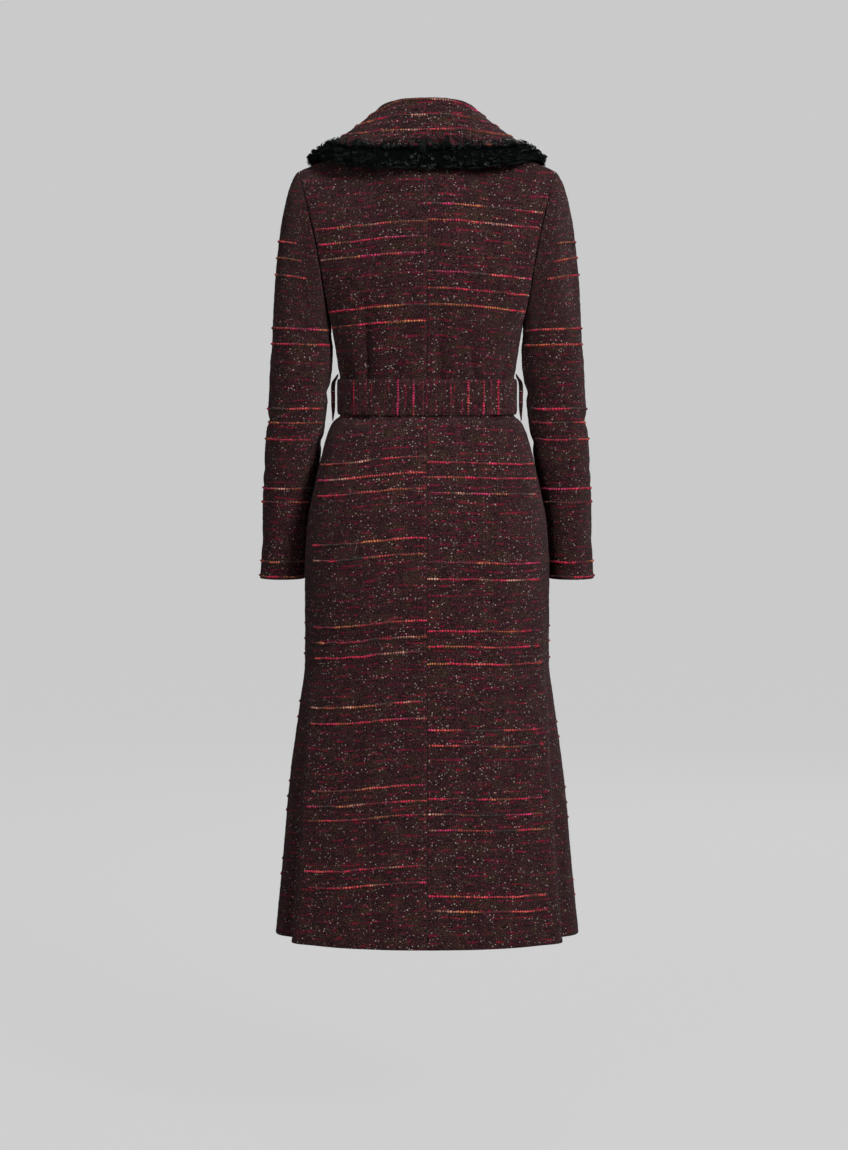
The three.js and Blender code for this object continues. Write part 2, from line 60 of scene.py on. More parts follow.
HEM = level("back_skirt_left", 0)
WAIST = level("back_bodice_left", 0)
CUFF = level("sleeve_left", 0)
BELT_TOP = level("belt", 1)
BELT_BOTTOM = level("belt", 0)
UNDERARM = -272
NAPE = 0
SIDES = {"left": 1, "right": -1}

# Driving sizes of the coat, in millimetres

CLOTH_THICKNESS = 2.4
SEAM_SETBACK = 0.01
ROUNDNESS = 2.4
WAIST_HALF = 134.6
TIP_X, TIP_Z = 197, -30
NECK_X, NECK_Y, NECK_Z = 75, 8, 8
BACK_NECK = 62
ARMHOLE_DEPTH = 60
SHOULDER_ARCH = 4
OVERLAP = 50
TUCK = 4.5


def table(names, *rows):
    """A short table with named columns."""
    return dict(zip(names.split(), np.array(rows, float).T))


BODY = table(
    "z half back front",
    (20, 140, 50, -30),
    (0, 150, 62, -46),
    (-30, 175, 82, -70),
    (-60, 188, 96, -90),
    (-100, 182, 107, -106),
    (-150, 170, 112, -118),
    (-215, 158, 111, -127),
    (UNDERARM, 147, 103, -120),
    (-300, 142, 98, -113),
    (-335, 137, 92, -105),
    (-350, WAIST_HALF, 88, -101),
    (-407, WAIST_HALF, 88, -101),
    (-412, 141, 94, -104),
    (-420, 148, 100, -108),
    (-447, 158, 110, -113),
    (-482, 166.5, 121, -118),
    (-527, 177, 131, -124),
    (-580, 186, 138, -129),
    (-640, 189.5, 143, -133),
    (-790, 190, 150, -141),
    (-840, 196, 153, -145),
    (-965, 213, 161, -155),
    (-1105, 226, 172, -166),
    (HEM, 236.5, 182, -175),
)
ARMHOLE = table(
    "z x", (TIP_Z, TIP_X), (-60, 189), (-90, 182), (-154, 168), (-199, 161), (-243, 153), (UNDERARM, 147)
)
FRONT_EDGE = table(
    "z x", (NECK_Z, NECK_X), (-60, 53), (-150, 14), (-215, -22), (UNDERARM, -OVERLAP), (-378, -OVERLAP)
)
SLEEVE = table(
    "z x y half_width half_depth",
    (-300, 192.5, -2, 47, 60),
    (-330, 195, -5, 48.5, 59),
    (-366, 198, -11, 46.5, 57.5),
    (-420, 203.5, -19, 45.5, 56),
    (-482, 210.6, -28, 43.2, 54),
    (-527, 216.4, -36, 39.8, 52),
    (-616, 222.6, -48, 36, 49),
    (CUFF, 225.9, -54, 35.8, 48),
)
SIDE_FOLD = table(
    "z depth ridge trough",
    (-640, 0, 70, 79),
    (-800, 5, 69, 78),
    (-960, 11, 59, 70.5),
    (-1100, 15, 57, 70),
    (HEM, 18, 55.5, 69.5),
)
FOLD_SPREAD = 6.5
RIDGE_SHARE = 0.45
FRONT_FOLDS = table("angle spread depth", (34, 8, 7), (63, 9, 10))
FRONT_FOLDS_START = -560
COLLAR_ROLL = np.array(
    [(0, 65, 76), (32, 59, 75), (58, 36, 70), (69, 3, 60), (66, -42, 28), (49, -86, -36), (31, -112, -98),
     (13, -127, -152)], float
)
COLLAR_EDGE = np.array(
    [(0, 92, 2), (52, 88, 2), (108, 67, 4), (150, 8, 8), (140, -50, -22), (101, -94, -82), (66, -120, -136),
     (26, -135, -180)], float
)

# Helpers


def mix(start, end, share):
    return start + (end - start) * share


def smooth(value, low, high):
    """0 below low, 1 above high and a soft step between."""
    t = np.clip((value - low) / (high - low), 0, 1)
    return t * t * (3 - 2 * t)


def bump(value, centre, spread):
    return np.exp(-(((value - centre) / spread) ** 2))


def points(x, y, z):
    return np.stack(np.broadcast_arrays(x, y, z), -1).astype(float)


def unit(vectors):
    return vectors / np.linalg.norm(vectors, axis=-1, keepdims=True)


def look_up(tab, column, z):
    """A column's value at each height, with smooth slopes that never overshoot the rows."""
    heights, values = tab["z"], tab[column]
    slopes = np.diff(values) / np.diff(heights)
    product = slopes[:-1] * slopes[1:]
    total = np.where(product > 0, slopes[:-1] + slopes[1:], 1)
    tangents = np.concatenate([slopes[:1], np.where(product > 0, 2 * product / total, 0), slopes[-1:]])
    z = np.clip(z, heights[-1], heights[0])
    row = np.clip(np.searchsorted(-heights, -z, side="right") - 1, 0, len(heights) - 2)
    span = heights[row + 1] - heights[row]
    t = (z - heights[row]) / span
    rise = (values[row + 1] - values[row]) * t * t * (3 - 2 * t)
    return values[row] + rise + span * t * (1 - t) * ((1 - t) * tangents[row] - t * tangents[row + 1])


def rounding(share, reach=1.0):
    """Rounded side of a section: 1 at its centre line and 0 at its side."""
    def height(s):
        return np.maximum(0, 1 - np.abs(s) ** ROUNDNESS) ** (1 / ROUNDNESS)
    share = np.minimum(1, np.abs(share))
    return (height(share * reach) - height(reach)) / (1 - height(reach))


def curve(stations, share):
    """Smooth curve through stations, at shares of the number of spans.

    The stations are one list of points, or a grid of lists with a share for each.
    """
    padded = np.concatenate([[2 * stations[0] - stations[1]], stations, [2 * stations[-1] - stations[-2]]])
    place = np.clip(share, 0, 1) * (len(stations) - 1)
    row = np.minimum(place.astype(int), len(stations) - 2)
    t = (place - row)[..., None]
    if padded.ndim == 2:
        a, b, c, d = (padded[row + k] for k in range(4))
    else:
        a, b, c, d = (np.take_along_axis(padded, (row + k)[None, ..., None], 0)[0] for k in range(4))
    steps = (b - a, c - b, d - c)
    before, span, after = (np.sqrt(np.linalg.norm(step, axis=-1, keepdims=True)) for step in steps)
    leave = ((b - a) / before - (c - a) / (before + span) + (c - b) / span) * span
    arrive = ((c - b) / span - (d - b) / (span + after) + (d - c) / after) * span
    rise = (3 * (c - b) - 2 * leave - arrive) * t ** 2
    return b + leave * t + rise + (2 * (b - c) + leave + arrive) * t ** 3


NOISE_CELLS = 128


def soft_noise(a, w, cell_a, cell_w, seed):
    """Smooth random values from -1 to 1, with one value for each cell of the cloth."""
    values = np.random.default_rng(seed).uniform(-1, 1, (NOISE_CELLS, NOISE_CELLS))
    x, y = np.broadcast_arrays(a / cell_a, w / cell_w)
    column, row = np.floor(x).astype(int), np.floor(y).astype(int)
    tx, ty = smooth(x - column, 0, 1), smooth(y - row, 0, 1)

    def value(dy, dx):
        return values[(row + dy) % NOISE_CELLS, (column + dx) % NOISE_CELLS]
    return mix(mix(value(0, 0), value(0, 1), tx), mix(value(1, 0), value(1, 1), tx), ty)


# Shape of the bodice. v runs from 0 at the shoulder to 1 at the underarm and 2 at the waist.

NECK_SHARE = 0.42
SHOULDER_REACH = 0.8
BLEND_END = 0.62


def side_edge(v, depth):
    """Armhole edge and, below it, the side seam."""
    turn = np.pi * np.minimum(v, 1)
    z = np.where(v <= 1, mix(TIP_Z, UNDERARM, (1 - np.cos(turn)) / 2), mix(UNDERARM, WAIST, v - 1))
    x = np.where(v <= 1, look_up(ARMHOLE, "x", z), look_up(BODY, "half", z))
    return x, np.where(v <= 1, depth * np.sin(turn), 0), z


def row_reach(v):
    """How much of the rounded section a row uses. Near the shoulder it stops short of the side."""
    return np.where(v < 1, mix(SHOULDER_REACH, 1, smooth(v, 0.5, 1)), 1)


def row_share(u, reach):
    """Share of a row's width at u, closer together towards the side."""
    return np.sin(u * np.arcsin(reach)) / reach


def centre_height(v, top):
    """Height of a row at the centre, which starts higher than the shoulder tip."""
    z = side_edge(v, 0)[2]
    return np.where(v < 1, mix(z + top - TIP_Z, z, np.minimum(v, 1)), z)


def shoulder_seam(share):
    return points(mix(NECK_X, TIP_X, share), mix(NECK_Y, 0, share),
                  mix(NECK_Z, TIP_Z, share) + SHOULDER_ARCH * np.sin(np.pi * share))


def back_top(u):
    """Neck seam and shoulder seam of the back, from the centre back to the shoulder tip."""
    turn = np.minimum(u / NECK_SHARE, 1) * np.pi / 2
    inward = np.cos(turn)
    neck = points(NECK_X * np.sin(turn), mix(NECK_Y, BACK_NECK, inward), mix(NECK_Z, NAPE, inward))
    seam = shoulder_seam(np.clip((u - NECK_SHARE) / (1 - NECK_SHARE), 0, 1))
    return np.where((u < NECK_SHARE)[..., None], neck, seam)


def back_row(u, v):
    x, y, z = side_edge(v, ARMHOLE_DEPTH)
    reach = row_reach(v)
    share = row_share(u, reach)
    centre = centre_height(v, NAPE)
    depth = look_up(BODY, "back", centre)
    return points(x * share, mix(y, depth, rounding(share, reach)), mix(centre, z, share))


def shoulder_blend(v):
    """How much a row follows the neck and shoulder seams above it."""
    return (1 - smooth(v, 0, BLEND_END))[..., None]


def back_bodice(u, v):
    return back_row(u, v) + (back_top(u) - back_row(u, np.zeros_like(v))) * shoulder_blend(v)


def front_row(u, v):
    edge_x, edge_y, edge_z = side_edge(v, -ARMHOLE_DEPTH)
    reach = row_reach(v)
    share = row_share(u, reach)
    centre = centre_height(v, NECK_Z)
    x = mix(look_up(FRONT_EDGE, "x", centre), edge_x, share)
    depth = look_up(BODY, "front", centre)
    return points(x, mix(edge_y, depth, rounding(x / edge_x, reach)), mix(centre, edge_z, share))


def front_bodice(u, v):
    return front_row(u, v) + (shoulder_seam(u) - front_row(u, np.zeros_like(v))) * shoulder_blend(v)


# Shape of the skirt, from u at the centre to the side seam and at a height z


def push_out(p, distance):
    return p + unit(p * (1, 1, 0)) * distance[..., None]


def back_skirt(u, z):
    angle = u * 90
    share = np.sin(np.radians(angle))
    p = points(look_up(BODY, "half", z) * share, look_up(BODY, "back", z) * rounding(share), z)
    ridge = bump(angle, look_up(SIDE_FOLD, "ridge", z), FOLD_SPREAD)
    trough = bump(angle, look_up(SIDE_FOLD, "trough", z), FOLD_SPREAD)
    return push_out(p, look_up(SIDE_FOLD, "depth", z) * (RIDGE_SHARE * ridge - trough))


def front_skirt(u, z):
    half = look_up(BODY, "half", z)
    turn = mix(-np.arcsin(OVERLAP / half), np.pi / 2, u)
    p = points(half * np.sin(turn), look_up(BODY, "front", z) * rounding(np.sin(turn)), z)
    folds = sum(d * bump(np.degrees(turn), a, s) for a, s, d in zip(*FRONT_FOLDS.values()))
    return push_out(p, folds * smooth(-z, -FRONT_FOLDS_START, -HEM))


TUCK_FULL, TUCK_NONE = OVERLAP + 15, OVERLAP + 70
TUCK_START, TUCK_WHOLE = -70, -150


def tuck_under(p):
    """The left front lies under the right one, one wall and a gap further in."""
    across = 1 - smooth(p[..., 0], TUCK_FULL, TUCK_NONE)
    return p + points(0, 1, 0) * (TUCK * across * smooth(-p[..., 2], -TUCK_START, -TUCK_WHOLE))[..., None]


# Shape of a sleeve. turn runs round it from the outer side, through the back, to the inner side.

ARMHOLE_GAP = 0.45
CAP_MIDDLE = 0.4
CAP_OUT_ALL, CAP_OUT_TOP = 2, 16
CAP_RISE = 70


def sleeve_section(turn, z):
    x = look_up(SLEEVE, "x", z) + look_up(SLEEVE, "half_width", z) * np.cos(turn)
    y = look_up(SLEEVE, "y", z) + look_up(SLEEVE, "half_depth", z) * np.sin(turn)
    return points(x, y, z)


def sleeve_point(turn, v):
    """v runs from 0 at the armhole to 1 where the sleeve section starts, and to 2 at the cuff."""
    around = np.arccos(np.clip(np.cos(turn), -1, 1)) / np.pi
    start = points(*side_edge(around, np.where(np.sin(turn) >= 0, ARMHOLE_DEPTH, -ARMHOLE_DEPTH)))
    start[..., 0] += ARMHOLE_GAP
    end = sleeve_section(turn, SLEEVE["z"][0] + 0 * turn)
    top = ((1 + np.cos(turn)) / 2) ** 2
    middle = mix(start, end, CAP_MIDDLE) + points(CAP_OUT_ALL + CAP_OUT_TOP * top, 0, CAP_RISE * top)
    t = np.clip(v, 0, 1)[..., None]
    cap = start * (1 - t) ** 2 + middle * 2 * t * (1 - t) + end * t ** 2
    arm = sleeve_section(turn, mix(SLEEVE["z"][0], CUFF, np.clip(v - 1, 0, 1)))
    return np.where((v <= 1)[..., None], cap, arm)


# Shape of the collar. s runs from the centre back to a front end, t over the roll to the outer edge.

NECK_PART = 0.36
COLLAR_END_V = 0.56
JUST_INSIDE = 0.9999


def neck_seam(s):
    """Seam that carries the collar: the back's neck, and on down the front edge."""
    back = back_bodice(np.minimum(s / NECK_PART, 1) * NECK_SHARE * JUST_INSIDE, np.zeros_like(s))
    front = front_bodice(np.zeros_like(s), np.clip((s - NECK_PART) / (1 - NECK_PART), 0, 1) * COLLAR_END_V)
    return np.where((s < NECK_PART)[..., None], back, front)


def collar_point(s, t):
    """A stand from the neck seam up to the roll, and a fall from there to the outer edge."""
    roll = curve(COLLAR_ROLL, s)
    edge = curve(COLLAR_EDGE, s)
    lean = smooth(s, 0.3, 0.6)
    base = neck_seam(s) + points(0, -lean, mix(1, 0.3, lean))
    fall = edge - roll
    flat = unit(fall * (1, 1, 0))
    rise = roll - base
    stations = np.stack([base, base + rise * 0.55, base + rise * 0.9, roll + flat * 4,
                         roll + fall * 0.18 + flat * 3, roll + fall * 0.6 + flat, edge])
    return curve(stations, t)


# Shape of the belt


def waist_point(degrees, offset):
    """Place round the waist, 0 degrees at the centre back, moved out from the bodice."""
    turn = np.radians(degrees)
    depth = np.where(np.cos(turn) >= 0, look_up(BODY, "back", WAIST), -look_up(BODY, "front", WAIST))
    share = np.abs(np.sin(turn))
    x = (look_up(BODY, "half", WAIST) + offset) * share * np.sign(np.sin(turn))
    return x, (depth + offset) * rounding(share) * np.sign(np.cos(turn))


# Meshes


def make_mesh(name, verts, faces, attributes):
    """Mesh object in metres from points in millimetres, with named vectors for its material."""
    mesh = bpy.data.meshes.new(name)
    corners = np.concatenate([f.ravel() for f in faces])
    totals = np.concatenate([np.full(len(f), f.shape[1]) for f in faces])
    mesh.vertices.add(len(verts))
    mesh.vertices.foreach_set("co", (np.asarray(verts) * MM).astype(np.float32).ravel())
    mesh.loops.add(len(corners))
    mesh.loops.foreach_set("vertex_index", corners.astype(np.int32))
    mesh.polygons.add(len(totals))
    starts = np.concatenate([[0], np.cumsum(totals)[:-1]])
    mesh.polygons.foreach_set("loop_start", starts.astype(np.int32))
    mesh.update(calc_edges=True)
    mesh.polygons.foreach_set("use_smooth", np.full(len(totals), True))
    for key, values in attributes.items():
        layer = mesh.attributes.new(key, "FLOAT_VECTOR", "POINT")
        layer.data.foreach_set("vector", np.asarray(values, np.float32).ravel())
    mesh.update()
    piece = bpy.data.objects.new(name, mesh)
    bpy.context.scene.collection.objects.link(piece)
    return piece


def grid_normals(grid):
    down, across = np.gradient(grid, axis=(0, 1))
    normal = np.cross(down, across)
    normal /= np.maximum(np.linalg.norm(normal, axis=-1, keepdims=True), 1e-9)
    outward = (normal[..., :2] * grid[..., :2]).sum()
    return normal if outward > 0 else -normal


def arc_length(grid, axis):
    steps = np.linalg.norm(np.diff(grid, axis=axis), axis=-1)
    start = np.zeros_like(np.take(steps, [0], axis=axis))
    return np.concatenate([start, np.cumsum(steps, axis=axis)], axis=axis)


def grid_faces(rows, columns, first=0, flip=False):
    index = first + np.arange(rows * columns).reshape(rows, columns)
    quads = np.stack([index[:-1, :-1], index[1:, :-1], index[1:, 1:], index[:-1, 1:]], -1).reshape(-1, 4)
    return quads[:, ::-1] if flip else quads


def ring_faces(index):
    """Faces of a tube, from the indices of its rings."""
    after = np.roll(index, -1, axis=-1)
    along = (slice(None),) * (index.ndim - 2)
    first, last = along + (slice(None, -1),), along + (slice(1, None),)
    return np.stack([index[first], after[first], after[last], index[last]], -1).reshape(-1, 4)


# Steps of the fine outer grid for each step of the inner one
COARSE = 4


def border(rows, columns, first=0):
    """Indices round the rim of a grid, in order."""
    index = first + np.arange(rows * columns).reshape(rows, columns)
    return np.concatenate([index[0, :-1], index[:-1, -1], index[-1, :0:-1], index[:0:-1, 0]])


def wall_mesh(name, outer, inner, attributes):
    """Closed cloth: a fine outer face, a coarser inner one and a rim that joins them."""
    rows, columns = outer.shape[:2]
    coarse = inner[::COARSE, ::COARSE]
    few_rows, few_columns = coarse.shape[:2]
    first = rows * columns
    facing = np.cross(outer[1, 0] - outer[0, 0], outer[0, 1] - outer[0, 0])
    flip = facing @ (outer[0, 0] - inner[0, 0]) < 0
    outer_faces = grid_faces(rows, columns, 0, flip)
    inner_faces = grid_faces(few_rows, few_columns, first, not flip)
    fine_rim = border(rows, columns)
    coarse_rim = border(few_rows, few_columns, first)
    c = np.arange(len(fine_rim)) // COARSE
    step = np.arange(len(fine_rim)) % COARSE
    partner = np.where(step < COARSE // 2, coarse_rim[c], np.roll(coarse_rim, -1)[c])
    strip = np.stack([fine_rim, np.roll(fine_rim, -1), partner], -1)
    middles = fine_rim[COARSE // 2::COARSE]
    bridges = np.stack([middles, np.roll(coarse_rim, -1), coarse_rim], -1)
    rim = np.concatenate([strip, bridges])
    if flip:
        rim = rim[:, ::-1]
    verts = np.concatenate([outer.reshape(-1, 3), coarse.reshape(-1, 3)])
    joined = {}
    for key, values in attributes.items():
        joined[key] = np.concatenate([values.reshape(-1, 3), values[::COARSE, ::COARSE].reshape(-1, 3)])
    return make_mesh(name, verts, [outer_faces, inner_faces, rim], joined)


# Cloth: relief of the weave, rolled seam edges and creases

SPACING = 3.0
ROLL_SPREAD = 3.2

# Seeds of what is uneven, and places in the tweed's pattern that keep the pieces apart
SEEDS = {
    "sleeve": 51, "collar wave": 61, "collar": 62, "collar yarn": 63, "belt": 71, "belt yarn": 72,
    "loop": 81, "sleeve yarn": 90, "fur": 92, "hair": 95,
}
PATTERNS = {"sleeve": 3.1, "collar": 5.3, "belt": 6.1, "loop": 7.3}

# Unevenness of the looped cloth, in millimetres: rows of loops, single loops and a slow drift
RELIEF = table("cell_across cell_along height", (9, 3.4, 0.30), (3.6, 3.2, 0.26), (42, 30, 0.35))


def steps_for(length):
    """Number of points along a stretch, so that every fourth one meets the coarse inner face."""
    return COARSE * max(2, round(length / SPACING / COARSE)) + 1


def relief(across, along, seed):
    total = 0
    for k, (cell_across, cell_along, height) in enumerate(zip(*RELIEF.values())):
        total = total + soft_noise(across, along, cell_across, cell_along, seed + k) * height
    return total


def seam_roll(distance, depth=1.0, spread=ROLL_SPREAD):
    """How far cloth turns in next to a seam."""
    return -depth * np.exp(-((distance / spread) ** 2))


# Fancy yarn. Its dyes change along its length, so the colours are a sequence that repeats some of them.

CRIMSON = (0.60, 0.010, 0.052)
PINK = (0.56, 0.020, 0.100)
CORAL = (0.58, 0.052, 0.050)
RUST = (0.30, 0.050, 0.018)
AMBER = (0.46, 0.120, 0.045)
PALE = (0.62, 0.250, 0.180)
WINE = (0.14, 0.010, 0.025)
FADED = (0.055, 0.024, 0.018)
DYES = np.array([
    CRIMSON, CORAL, RUST, AMBER, CRIMSON, PALE, CORAL, CRIMSON,
    FADED, CRIMSON, PINK, RUST, CORAL, WINE, CRIMSON, AMBER,
])
REDS = np.array([CRIMSON, CRIMSON, PINK, CRIMSON, CORAL])
DARKEST = 0.004
STRETCHES = 60
STRETCH_SHORTEST, STRETCH_LONGEST = 9, 46
RUN_TOGETHER = 5
YARN_RADIUS = 1.85
YARN_SIDES = 4
YARN_STEP = 1.15
YARN_RISE = 0.3
SHORTEST_YARN = 6
BEAD_LENGTH = 4.0
BEAD_DRIFT = 1.1
yarn_parts = {"verts": [], "faces": [], "colours": [], "count": 0}


def dye_along(distance, rng, dyes):
    """Colour of a space-dyed yarn along its length: uneven stretches that run into each other."""
    ends = np.cumsum(rng.uniform(STRETCH_SHORTEST, STRETCH_LONGEST, STRETCHES))
    picks = dyes[rng.integers(0, len(dyes), STRETCHES + 1)]
    stretch = np.searchsorted(ends, distance)
    colour = picks[stretch]
    blend = np.clip((ends[stretch] - distance) / RUN_TOGETHER, 0, 1)[:, None]
    return mix(picks[np.minimum(stretch + 1, STRETCHES)], colour, 0.5 + 0.5 * blend)


def painted_bead_shade_and_tone(beads, wander):
    """Brightness along the yarn: painted shade between the beads and a painted highlight on them, with uneven
    beads, drifts and clumps of tone.
    """
    # Painted shade between the beads and a painted highlight on their tops
    painted_bead_light = 0.16 + 1.25 * beads ** 1.5
    uneven = 1 + 0.5 * wander(2.9, 4)
    drift = 0.9 + 0.5 * wander(30, 5)
    clump = np.clip(0.95 + 0.7 * wander(7, 6), 0.25, 1.7)
    return painted_bead_light * uneven * drift * clump


def lay_yarn(path, normals, radius, rng, strength=1.1, dyes=DYES):
    """Beaded yarn laid along a path on the cloth, as a closed tube."""
    lengths = np.concatenate([[0], np.cumsum(np.linalg.norm(np.diff(path, axis=0), axis=1))])
    if lengths[-1] < SHORTEST_YARN:
        return
    places = np.linspace(0, lengths[-1], max(4, int(lengths[-1] / YARN_STEP)))
    line = np.stack([np.interp(places, lengths, path[:, k]) for k in range(3)], -1)
    normal = unit(np.stack([np.interp(places, lengths, normals[:, k]) for k in range(3)], -1))
    side = np.cross(normal, unit(np.gradient(line, axis=0)))
    phase, seed = rng.uniform(0, 50), int(rng.integers(1, 10000))

    def wander(cell, step):
        return soft_noise(places + phase, 0 * places, cell, 1, seed + step)
    beads = 0.5 + 0.5 * np.cos(2 * np.pi * (places + BEAD_DRIFT * wander(7, 0)) / BEAD_LENGTH)
    size = radius * (0.30 + 0.80 * beads + 0.20 * wander(5, 1))
    size[[0, -1]] *= 0.3
    shift = wander(2.6, 2) * 0.35 + wander(24, 3) * 0.7
    centre = line + side * shift[:, None] + normal * (radius * YARN_RISE)
    turns = 2 * np.pi * np.arange(YARN_SIDES) / YARN_SIDES
    spokes = np.cos(turns)[None, :, None] * normal[:, None] + np.sin(turns)[None, :, None] * side[:, None]
    rings = centre[:, None] + size[:, None, None] * spokes
    index = np.arange(len(places) * YARN_SIDES).reshape(-1, YARN_SIDES) + yarn_parts["count"]
    caps = np.stack([index[0, ::-1], index[-1]])
    # The yarn's dyes times painted shade between its beads, a painted highlight on them and uneven tone along
    # it
    painted_shade_and_tone = strength * painted_bead_shade_and_tone(beads, wander)
    colour = np.clip(dye_along(places + phase, rng, dyes) * painted_shade_and_tone[:, None], DARKEST, 1)
    yarn_parts["verts"].append(rings.reshape(-1, 3))
    yarn_parts["faces"].append((ring_faces(index), caps))
    yarn_parts["colours"].append(np.repeat(colour, YARN_SIDES, axis=0))
    yarn_parts["count"] += len(places) * YARN_SIDES


def finish_yarn(name):
    """Joins the yarn laid so far into one piece."""
    quads = np.concatenate([q for q, _ in yarn_parts["faces"]])
    caps = np.concatenate([c for _, c in yarn_parts["faces"]])
    verts = np.concatenate(yarn_parts["verts"])
    colours = np.concatenate(yarn_parts["colours"])
    piece = make_mesh(name, verts, [quads, caps], {"dye": colours})
    piece.data.materials.append(YARN)
    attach(piece, "root")
    for key in ("verts", "faces", "colours"):
        yarn_parts[key].clear()
    yarn_parts["count"] = 0


def level_line(grid, normals, heights, wanted):
    """Path over the cloth where the height of its weft is one value."""
    rows = np.arange(grid.shape[0])
    path, sides = [], []
    for j in range(grid.shape[1]):
        column = heights[:, j]
        if not column.min() < wanted < column.max():
            continue
        place = np.interp(-wanted, -column, rows)
        i = min(int(place), len(rows) - 2)
        path.append(mix(grid[i, j], grid[i + 1, j], place - i))
        sides.append(mix(normals[i, j], normals[i + 1, j], place - i))
    return np.array(path), np.array(sides)


def crease_depth(p, creases):
    """Depth of soft troughs and ridges, which fade out to their two ends."""
    total = np.zeros(p.shape[:-1])
    for x, top, bottom, lean, spread, depth in zip(*creases.values()):
        middle, reach = (top + bottom) / 2, (top - bottom) / 2
        line = x + lean * (p[..., 2] - middle)
        fade = np.clip(1 - ((p[..., 2] - middle) / reach) ** 2, 0, 1)
        total -= depth * fade * bump(p[..., 0], line, spread)
    return total


def finish_cloth(piece, solid):
    piece.data.materials.append(TWEED)
    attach(piece, "root")
    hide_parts(solid)


# Tweed material


def new_material(name):
    material = bpy.data.materials.new(name)
    material.use_nodes = True
    tree = material.node_tree
    surface = tree.nodes["Principled BSDF"]
    return material, tree, surface


def node(tree, kind, inputs=(), **settings):
    """New node with settings, and inputs that are numbers or other nodes' outputs."""
    made = tree.nodes.new("ShaderNode" + kind)
    for key, value in settings.items():
        setattr(made, key, value)
    for key, value in dict(inputs).items():
        if isinstance(value, bpy.types.NodeSocket):
            tree.links.new(value, made.inputs[key])
        else:
            made.inputs[key].default_value = value
    return made


def maths(tree, operation, *values):
    return node(tree, "Math", enumerate(values), operation=operation).outputs[0]


def scaled(tree, vector, *factors):
    return node(tree, "VectorMath", {0: vector, 1: factors}, operation="MULTIPLY").outputs[0]


def noise(tree, vector, detail=2.0):
    inputs = {"Vector": vector, "Scale": 1.0, "Detail": detail, "Roughness": 0.5}
    return node(tree, "TexNoise", inputs).outputs["Fac"]


def between(tree, value, low, high):
    """0 below low, 1 above high and smooth between them."""
    inputs = {"Value": value, "From Min": low, "From Max": high}
    return node(tree, "MapRange", inputs, interpolation_type="SMOOTHSTEP").outputs["Result"]


def blend_colour(tree, share, first, second, how="MIX"):
    made = node(tree, "Mix", data_type="RGBA", blend_type=how)
    for socket, value in ((made.inputs[0], share), (made.inputs[6], first), (made.inputs[7], second)):
        if isinstance(value, bpy.types.NodeSocket):
            tree.links.new(value, socket)
        else:
            socket.default_value = (*value, 1) if isinstance(value, tuple) else value
    return made.outputs[2]


def set_values(surface, values):
    for key, value in values.items():
        surface.inputs[key].default_value = value


# Colours of the tweed, and the cells to a metre across and along the cloth in which they vary.
# The third number keeps the panels' patterns apart.

GROUND = (0.026, 0.0110, 0.0118)
PLUM = (0.035, 0.0095, 0.0148)
OLIVE = (0.035, 0.0195, 0.0130)
BLACK = (0.005, 0.003, 0.003)
WEAK_RED = (0.30, 0.008, 0.035)
WEAK_PURPLE = (0.16, 0.008, 0.045)
WHITE = (0.74, 0.60, 0.55)
TAN = (0.16, 0.085, 0.060)
WARP_PINK = (0.22, 0.030, 0.050)
WARP_ENDS = (0.004, 0.047, 0.088, 0.128)
WARP_HALF_WIDTH = 0.0005
WARP_FADE = 0.0012
WEFT_PITCH, WARP_PITCH = 0.0021, 0.0019
BUMP_HEIGHT = 0.0016
PATCH_CELLS = (30, 46, 9)
STREAK_CELLS = (60, 380, 9)
GRAIN_CELLS = (480, 620, 9)
SLUB_CELLS = (130, 330, 9)
TAN_CELLS = (310, 330, 9)
WARP_CELLS = (60, 260, 9)
CLUSTER_CELLS = (26, 90, 9)
FLECK_CELLS = (215, 250, 9)


def weak_rows(tree, place, along, spacing, width, length, share, seed):
    """Rows of short, beaded dashes along the weft: 1 on a dash and 0 off it."""
    drift = noise(tree, scaled(tree, place, 9, 24, seed), 1)
    row = maths(tree, "ADD", maths(tree, "MULTIPLY", along, 1 / spacing), maths(tree, "MULTIPLY", drift, 1.4))
    off = maths(tree, "ABSOLUTE", maths(tree, "SUBTRACT", maths(tree, "FRACT", row), 0.5))
    thread = width / spacing
    line = maths(tree, "SUBTRACT", 1.0, between(tree, off, thread * 0.4, thread * 0.7))
    stretches = noise(tree, scaled(tree, place, 1 / length, 0.9 / spacing, seed), 1)
    dash = between(tree, stretches, share, share + 0.06)
    beads = between(tree, noise(tree, scaled(tree, place, 420, 90, seed), 0), 0.36, 0.56)
    return maths(tree, "MULTIPLY", maths(tree, "MULTIPLY", line, dash), beads)


def dots(tree, place, cells, radius, share):
    """Scattered round flecks, in the given share of the cells of a voronoi."""
    cell = node(tree, "TexVoronoi", {"Vector": scaled(tree, place, *cells), "Scale": 1.0})
    near = maths(tree, "SUBTRACT", 1.0, between(tree, cell.outputs["Distance"], radius * 0.7, radius * 1.3))
    pick = node(tree, "SeparateColor", {"Color": cell.outputs["Color"]})
    chosen = maths(tree, "GREATER_THAN", pick.outputs[0], 1 - share)
    strength = maths(tree, "MULTIPLY_ADD", pick.outputs[1], 0.8, 0.2)
    return maths(tree, "MULTIPLY", maths(tree, "MULTIPLY", near, chosen), strength)


